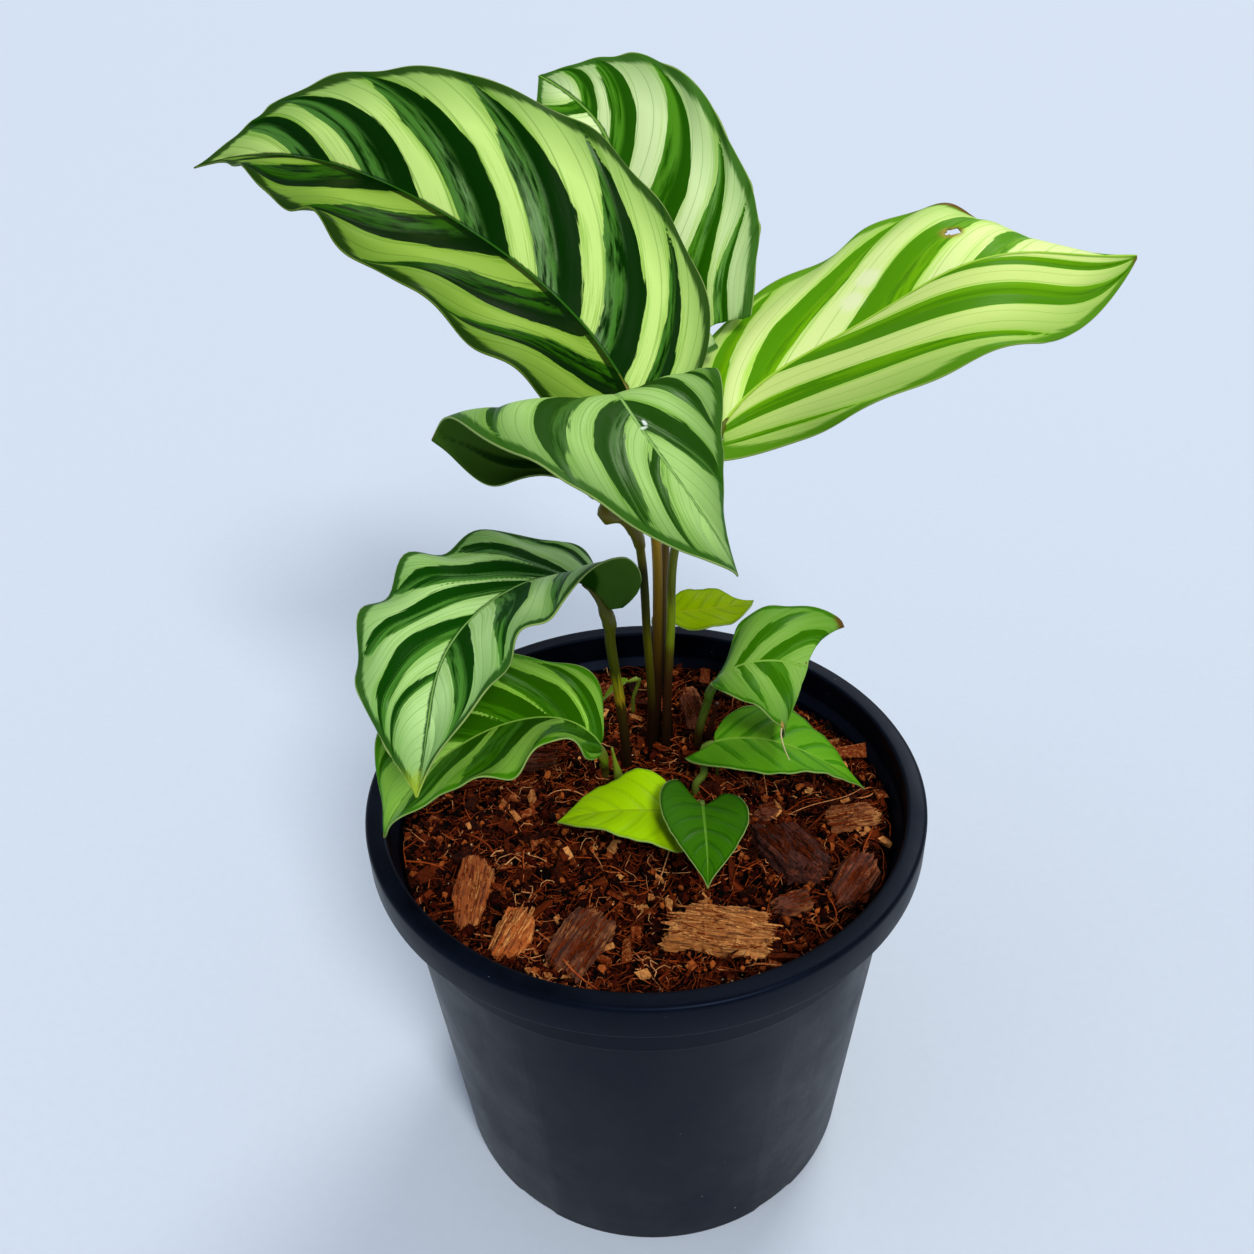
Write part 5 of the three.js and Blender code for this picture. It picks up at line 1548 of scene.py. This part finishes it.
# %% [markdown]
# Larger pieces of coconut husk lie in the mix. Each is an uneven slab with eight corners, drawn
# from the same seed as its solid, so that it fills the same bed. The slab's edges are eased and its
# faces cut finely, then worn along the grain, which runs the long way as the husk's fibres do.
# %% Husk chips
CHIP_CORNERS = 8
CHIP_FULLNESS = 0.8
CHIP_CELL = 0.7
CHIP_TEAR = 3.4
CHIP_SQUARENESS = 1.27
CORNER_SWAY = 0.35
CORNER_REACH = (0.84, 0.24)
CHIP_EDGE = 0.25
CUTS = 5
GRAIN_DEPTH, LAYER_DEPTH, WEAR = 0.5, 1.5, 0.1
FIRST_CHIP_SEED = 40
GRAIN = (9, 0.8, 0.8)
BLOTCH = 5 * MM
CHIPS = {
    "husk_block_left": dict(at=(-50, -32), size=(23, 12), thick=10, turn=82, tilt=(6, -24),
                            proud=4.5, tones=("#2c0e04", "#964a18", "#d08a48")),
    "husk_block_front_left": dict(at=(-37.5, -47), size=(16, 12), thick=8, turn=60,
                                  tilt=(10, -16), proud=4, tones=("#300f04", "#b0581c", "#e09a50")),
    "husk_flat_front": dict(at=(-19, -51), size=(24, 16), thick=6, turn=58, tilt=(8, -10),
                            proud=3, tones=("#1c0804", "#5c2c14", "#9a6030")),
    "husk_fibrous_front": dict(at=(19, -50), size=(36, 17), thick=7, turn=-8, tilt=(14, 4),
                               proud=4, tones=("#341606", "#a06028", "#dca460")),
    "husk_slab_right": dict(at=(42, -20), size=(29, 22), thick=6, turn=115, tilt=(12, 8),
                            proud=3, tones=("#140403", "#42180c", "#76361c")),
    "husk_flat_right": dict(at=(61, -8), size=(16, 10), thick=3.5, turn=8, tilt=(14, -4),
                            proud=3.2, tones=("#2c1006", "#84481e", "#c08448")),
    "husk_edge_right": dict(at=(57, -33), size=(19, 13), thick=6, turn=50, tilt=(14, -12),
                            proud=4, tones=("#180604", "#5c2814", "#94522c")),
    "husk_corner_right": dict(at=(40, -40), size=(12, 8), thick=4, turn=20, tilt=(10, 4),
                              proud=2.4, tones=("#1c0a04", "#602c14", "#a0602c")),
    "husk_small_right": dict(at=(37, -3), size=(8, 6), thick=4.5, turn=30, tilt=(8, 10),
                             proud=2.4, tones=("#1c0a04", "#683018", "#a8682c")),
    "husk_back": dict(at=(17, 43), size=(16, 8), thick=4, turn=112, tilt=(0, -38), proud=4.6,
                      tones=("#241006", "#7a3a20", "#b06a38")),
    "husk_back_left": dict(at=(-14, 56), size=(10, 7), thick=4, turn=30, tilt=(20, -12),
                           proud=3.2, tones=("#241006", "#84401e", "#b87438")),
    "husk_left": dict(at=(-32, 24), size=(13, 9), thick=4.5, turn=10, tilt=(12, 8), proud=2.8,
                      tones=("#1c0a04", "#64301a", "#9a6030")),
}


def corner_draws(seed):
    """Draws from 0 to 1 by whole-number mixing, the same as shaped the solid chips."""
    mask = 0xffffffff
    state = seed

    def draw():
        nonlocal state
        state = (state + 0x6d2b79f5) & mask
        mixed = ((state ^ (state >> 15)) * (state | 1)) & mask
        mixed ^= (mixed + (((mixed ^ (mixed >> 7)) * (mixed | 61)) & mask)) & mask
        return (mixed ^ (mixed >> 14)) / 4294967296
    return draw


def chip_turn(chip):
    return Euler([math.radians(a) for a in (*chip["tilt"], chip["turn"])], "XYZ")


def chip_middle(chip):
    x, y = chip["at"]
    return Vector((x, y, soil_height(x, y) + chip["proud"] - chip["thick"] / 2)) * MM


def carve_chip(chip, seed):
    draw = corner_draws(seed)
    length, width = chip["size"]
    bm = bmesh.new()
    bmesh.ops.create_circle(bm, cap_ends=True, segments=CHIP_CORNERS, radius=1)
    bm.verts.ensure_lookup_table()
    around = sorted(bm.verts, key=lambda vert: math.atan2(vert.co.y, vert.co.x) % math.tau)
    for k, vert in enumerate(around):
        angle = math.tau * (k + CORNER_SWAY * (draw() - 0.5)) / CHIP_CORNERS
        reach = CHIP_FULLNESS * (CORNER_REACH[0] + CORNER_REACH[1] * draw()) / 2
        reach *= CHIP_SQUARENESS if k % 2 else 1
        vert.co = Vector((length * reach * math.cos(angle), width * reach * math.sin(angle),
                          -chip["thick"] / 2)) * MM
    grown = bmesh.ops.extrude_face_region(bm, geom=bm.faces[:])["geom"]
    top = [item for item in grown if isinstance(item, bmesh.types.BMVert)]
    bmesh.ops.translate(bm, verts=top, vec=(0, 0, chip["thick"] * MM))
    bmesh.ops.recalc_face_normals(bm, faces=bm.faces)
    bmesh.ops.bevel(bm, geom=bm.edges[:], offset=CHIP_EDGE * MM, affect="EDGES", segments=1,
                    profile=0.5, material=-1)
    bmesh.ops.triangulate(bm, faces=[face for face in bm.faces if len(face.verts) > 4])
    for _ in range(CUTS):
        long_edges = [edge for edge in bm.edges if edge.calc_length() > CHIP_CELL * MM]
        bmesh.ops.subdivide_edges(bm, edges=long_edges, cuts=1, use_grid_fill=True)
        bmesh.ops.triangulate(bm, faces=[face for face in bm.faces if len(face.verts) > 4])
    bm.normal_update()
    turn, middle = chip_turn(chip).to_matrix(), chip_middle(chip)
    moved = []
    for vert in bm.verts:
        p = vert.co / MM
        grain = noise.fractal(Vector((p.x / 10, p.y / 0.8, p.z / 0.8 + seed)), 0.8, 2.0, 4)
        layers = round(4 * noise.noise(Vector((p.x / 8, p.y / 2.6, p.z / 2 + seed)))) / 4
        end = min(max(abs(p.x) / (CHIP_FULLNESS * length / 2) - 0.6, 0) / 0.4, 1)
        torn = end * CHIP_TEAR * noise.noise(Vector((seed, p.y / 0.7, p.z / 0.7)))
        relief = GRAIN_DEPTH * grain + LAYER_DEPTH * layers - WEAR
        pulled = Vector((math.copysign(torn, p.x) * MM, 0, 0))
        moved.append(vert.co + vert.normal * relief * MM + pulled)
    for vert, place in zip(bm.verts, moved):
        vert.co = turn @ place + middle
    return bm


def husk_material(name, chip):
    material, add = start_material("dry coconut husk, " + name.replace("_", " "))
    own = add("Mapping", {
        "Vector": add("TexCoord", output="Object"),
        "Location": chip_middle(chip), "Rotation": chip_turn(chip),
    }, vector_type="TEXTURE")
    stretched = add("VectorMath", (own, [1 / (size * MM) for size in GRAIN]), operation="MULTIPLY")
    grain = add("TexNoise", {"Vector": stretched, "Scale": 1, "Detail": 5, "Roughness": 0.65})
    blotch = add("TexNoise", {"Vector": own, "Scale": 1 / BLOTCH, "Detail": 3})
    dark, middle, pale = chip["tones"]
    to_middle = add("MapRange", (grain, 0.34, 0.52))
    lower = add("Mix", {"Factor": to_middle, 6: dark, 7: middle}, **RGBA)
    mixed = add("Math", (grain, blotch), operation="ADD")
    to_pale = add("MapRange", (mixed, 1.02, 1.3, 0, 0.85))
    colour = add("Mix", {"Factor": to_pale, 6: lower, 7: pale}, **RGBA)
    bump = add("Bump", {"Height": grain, "Strength": 0.9, "Distance": 0.5 * MM})
    husk = add("BsdfPrincipled", {
        "Base Color": colour, "Roughness": 0.86, "Normal": bump, "IOR": 1.4,
    })
    add("OutputMaterial", [husk])
    return material


for seed, (name, chip) in enumerate(CHIPS.items(), FIRST_CHIP_SEED):
    finish = husk_material(name, chip)
    piece = finish_piece(name + "_grained", carve_chip(chip, seed), [finish], (name,),
                         smooth=False)
    print(name, "faces:", len(piece.data.polygons))

# %% [markdown]
# Husk splits along its fibres, so slivers lift from the chips and stick out past their ends. Each
# sliver is a thin, jittered bar that lies along the grain of its own chip, and takes its tone from
# the chip's.
# %% Slivers on the chips
SLIVER_DOUBLINGS = 10
SLIVER_LENGTH = (1.5, 6.5)
SLIVER_WIDTH = (0.12, 0.5)
SLIVER_HEIGHT = (0.1, 0.35)
SLIVER_SEED = 31


def husk_slivers():
    chips = list(CHIPS.values())
    shares = [chip["size"][0] * chip["size"][1] for chip in chips]

    def lay(draw, template):
        chip = draw.choices(chips, shares)[0]
        half_length, half_width = (CHIP_FULLNESS * side / 2 for side in chip["size"])
        across = draw.uniform(-0.85, 0.85)
        end = half_length * math.sqrt(1 - across * across)
        middle = Vector((
            draw.uniform(-1.05, 1.05) * end, across * half_width,
            chip["thick"] / 2 + draw.uniform(-0.6, 0.5),
        ))
        spans = (SLIVER_LENGTH, SLIVER_WIDTH, SLIVER_HEIGHT)
        sizes = Vector([draw.uniform(*span) for span in spans])
        lean = Euler((0, draw.gauss(0, 0.12), draw.gauss(0, 0.1)))
        brightness = sum(linear(chip["tones"][1])[:3])
        tone = min(1, 0.1 + 0.85 * brightness + 0.3 * draw.random())
        turn, place = chip_turn(chip).to_matrix(), chip_middle(chip)
        corners = []
        for corner in template:
            bar = Vector([a * b * draw.uniform(0.6, 1.1) for a, b in zip(corner, sizes)])
            bar.rotate(lean)
            corners.append(place + turn @ (middle + bar) * MM)
        return tone, corners
    bm = bmesh.new()
    bmesh.ops.create_cube(bm, size=1)
    return many(bm, SLIVER_DOUBLINGS, SLIVER_SEED, lay)


sliver_finish = mix_material("split coconut husk", MIX_TONES["flake"])
slivers = finish_piece("husk_slivers", husk_slivers(), [sliver_finish], smooth=False)
print("faces in the slivers:", len(slivers.data.polygons))

# %% [markdown]
# The split leaf ends in a dry thread, the last of its midrib, which hangs down from the tip.
# %% Dry thread at a tip
THREAD_RADIUS = 0.22
LOWER_TIP = (0.66, -1)
THREAD_TONES = ((0, "#d8c890"), (1, "#e8dcb0"))
split_leaf = LEAVES["split_right"]
tip = blade_point(split_leaf, midrib_places(split_leaf), first_share(split_leaf), *LOWER_TIP, 0)
drops = ((0, 0.3, 0.3), (-0.3, -1.0, -1.2), (0.2, -4.2, -3.0), (1.4, -8.5, -4.6))
thread_course = [tip + Vector(drop) for drop in drops]


def thread_radius(share, angle, total):
    return THREAD_RADIUS * (1.3 - 0.7 * share)


thread = finish_piece(
    "dry_thread", bend_cylinder(thread_course, thread_radius, sides=8, step=0.8),
    [stem_material("dry thread", THREAD_TONES, len(STEM_LOOKS))],
)
print("faces in the thread:", len(thread.data.polygons))
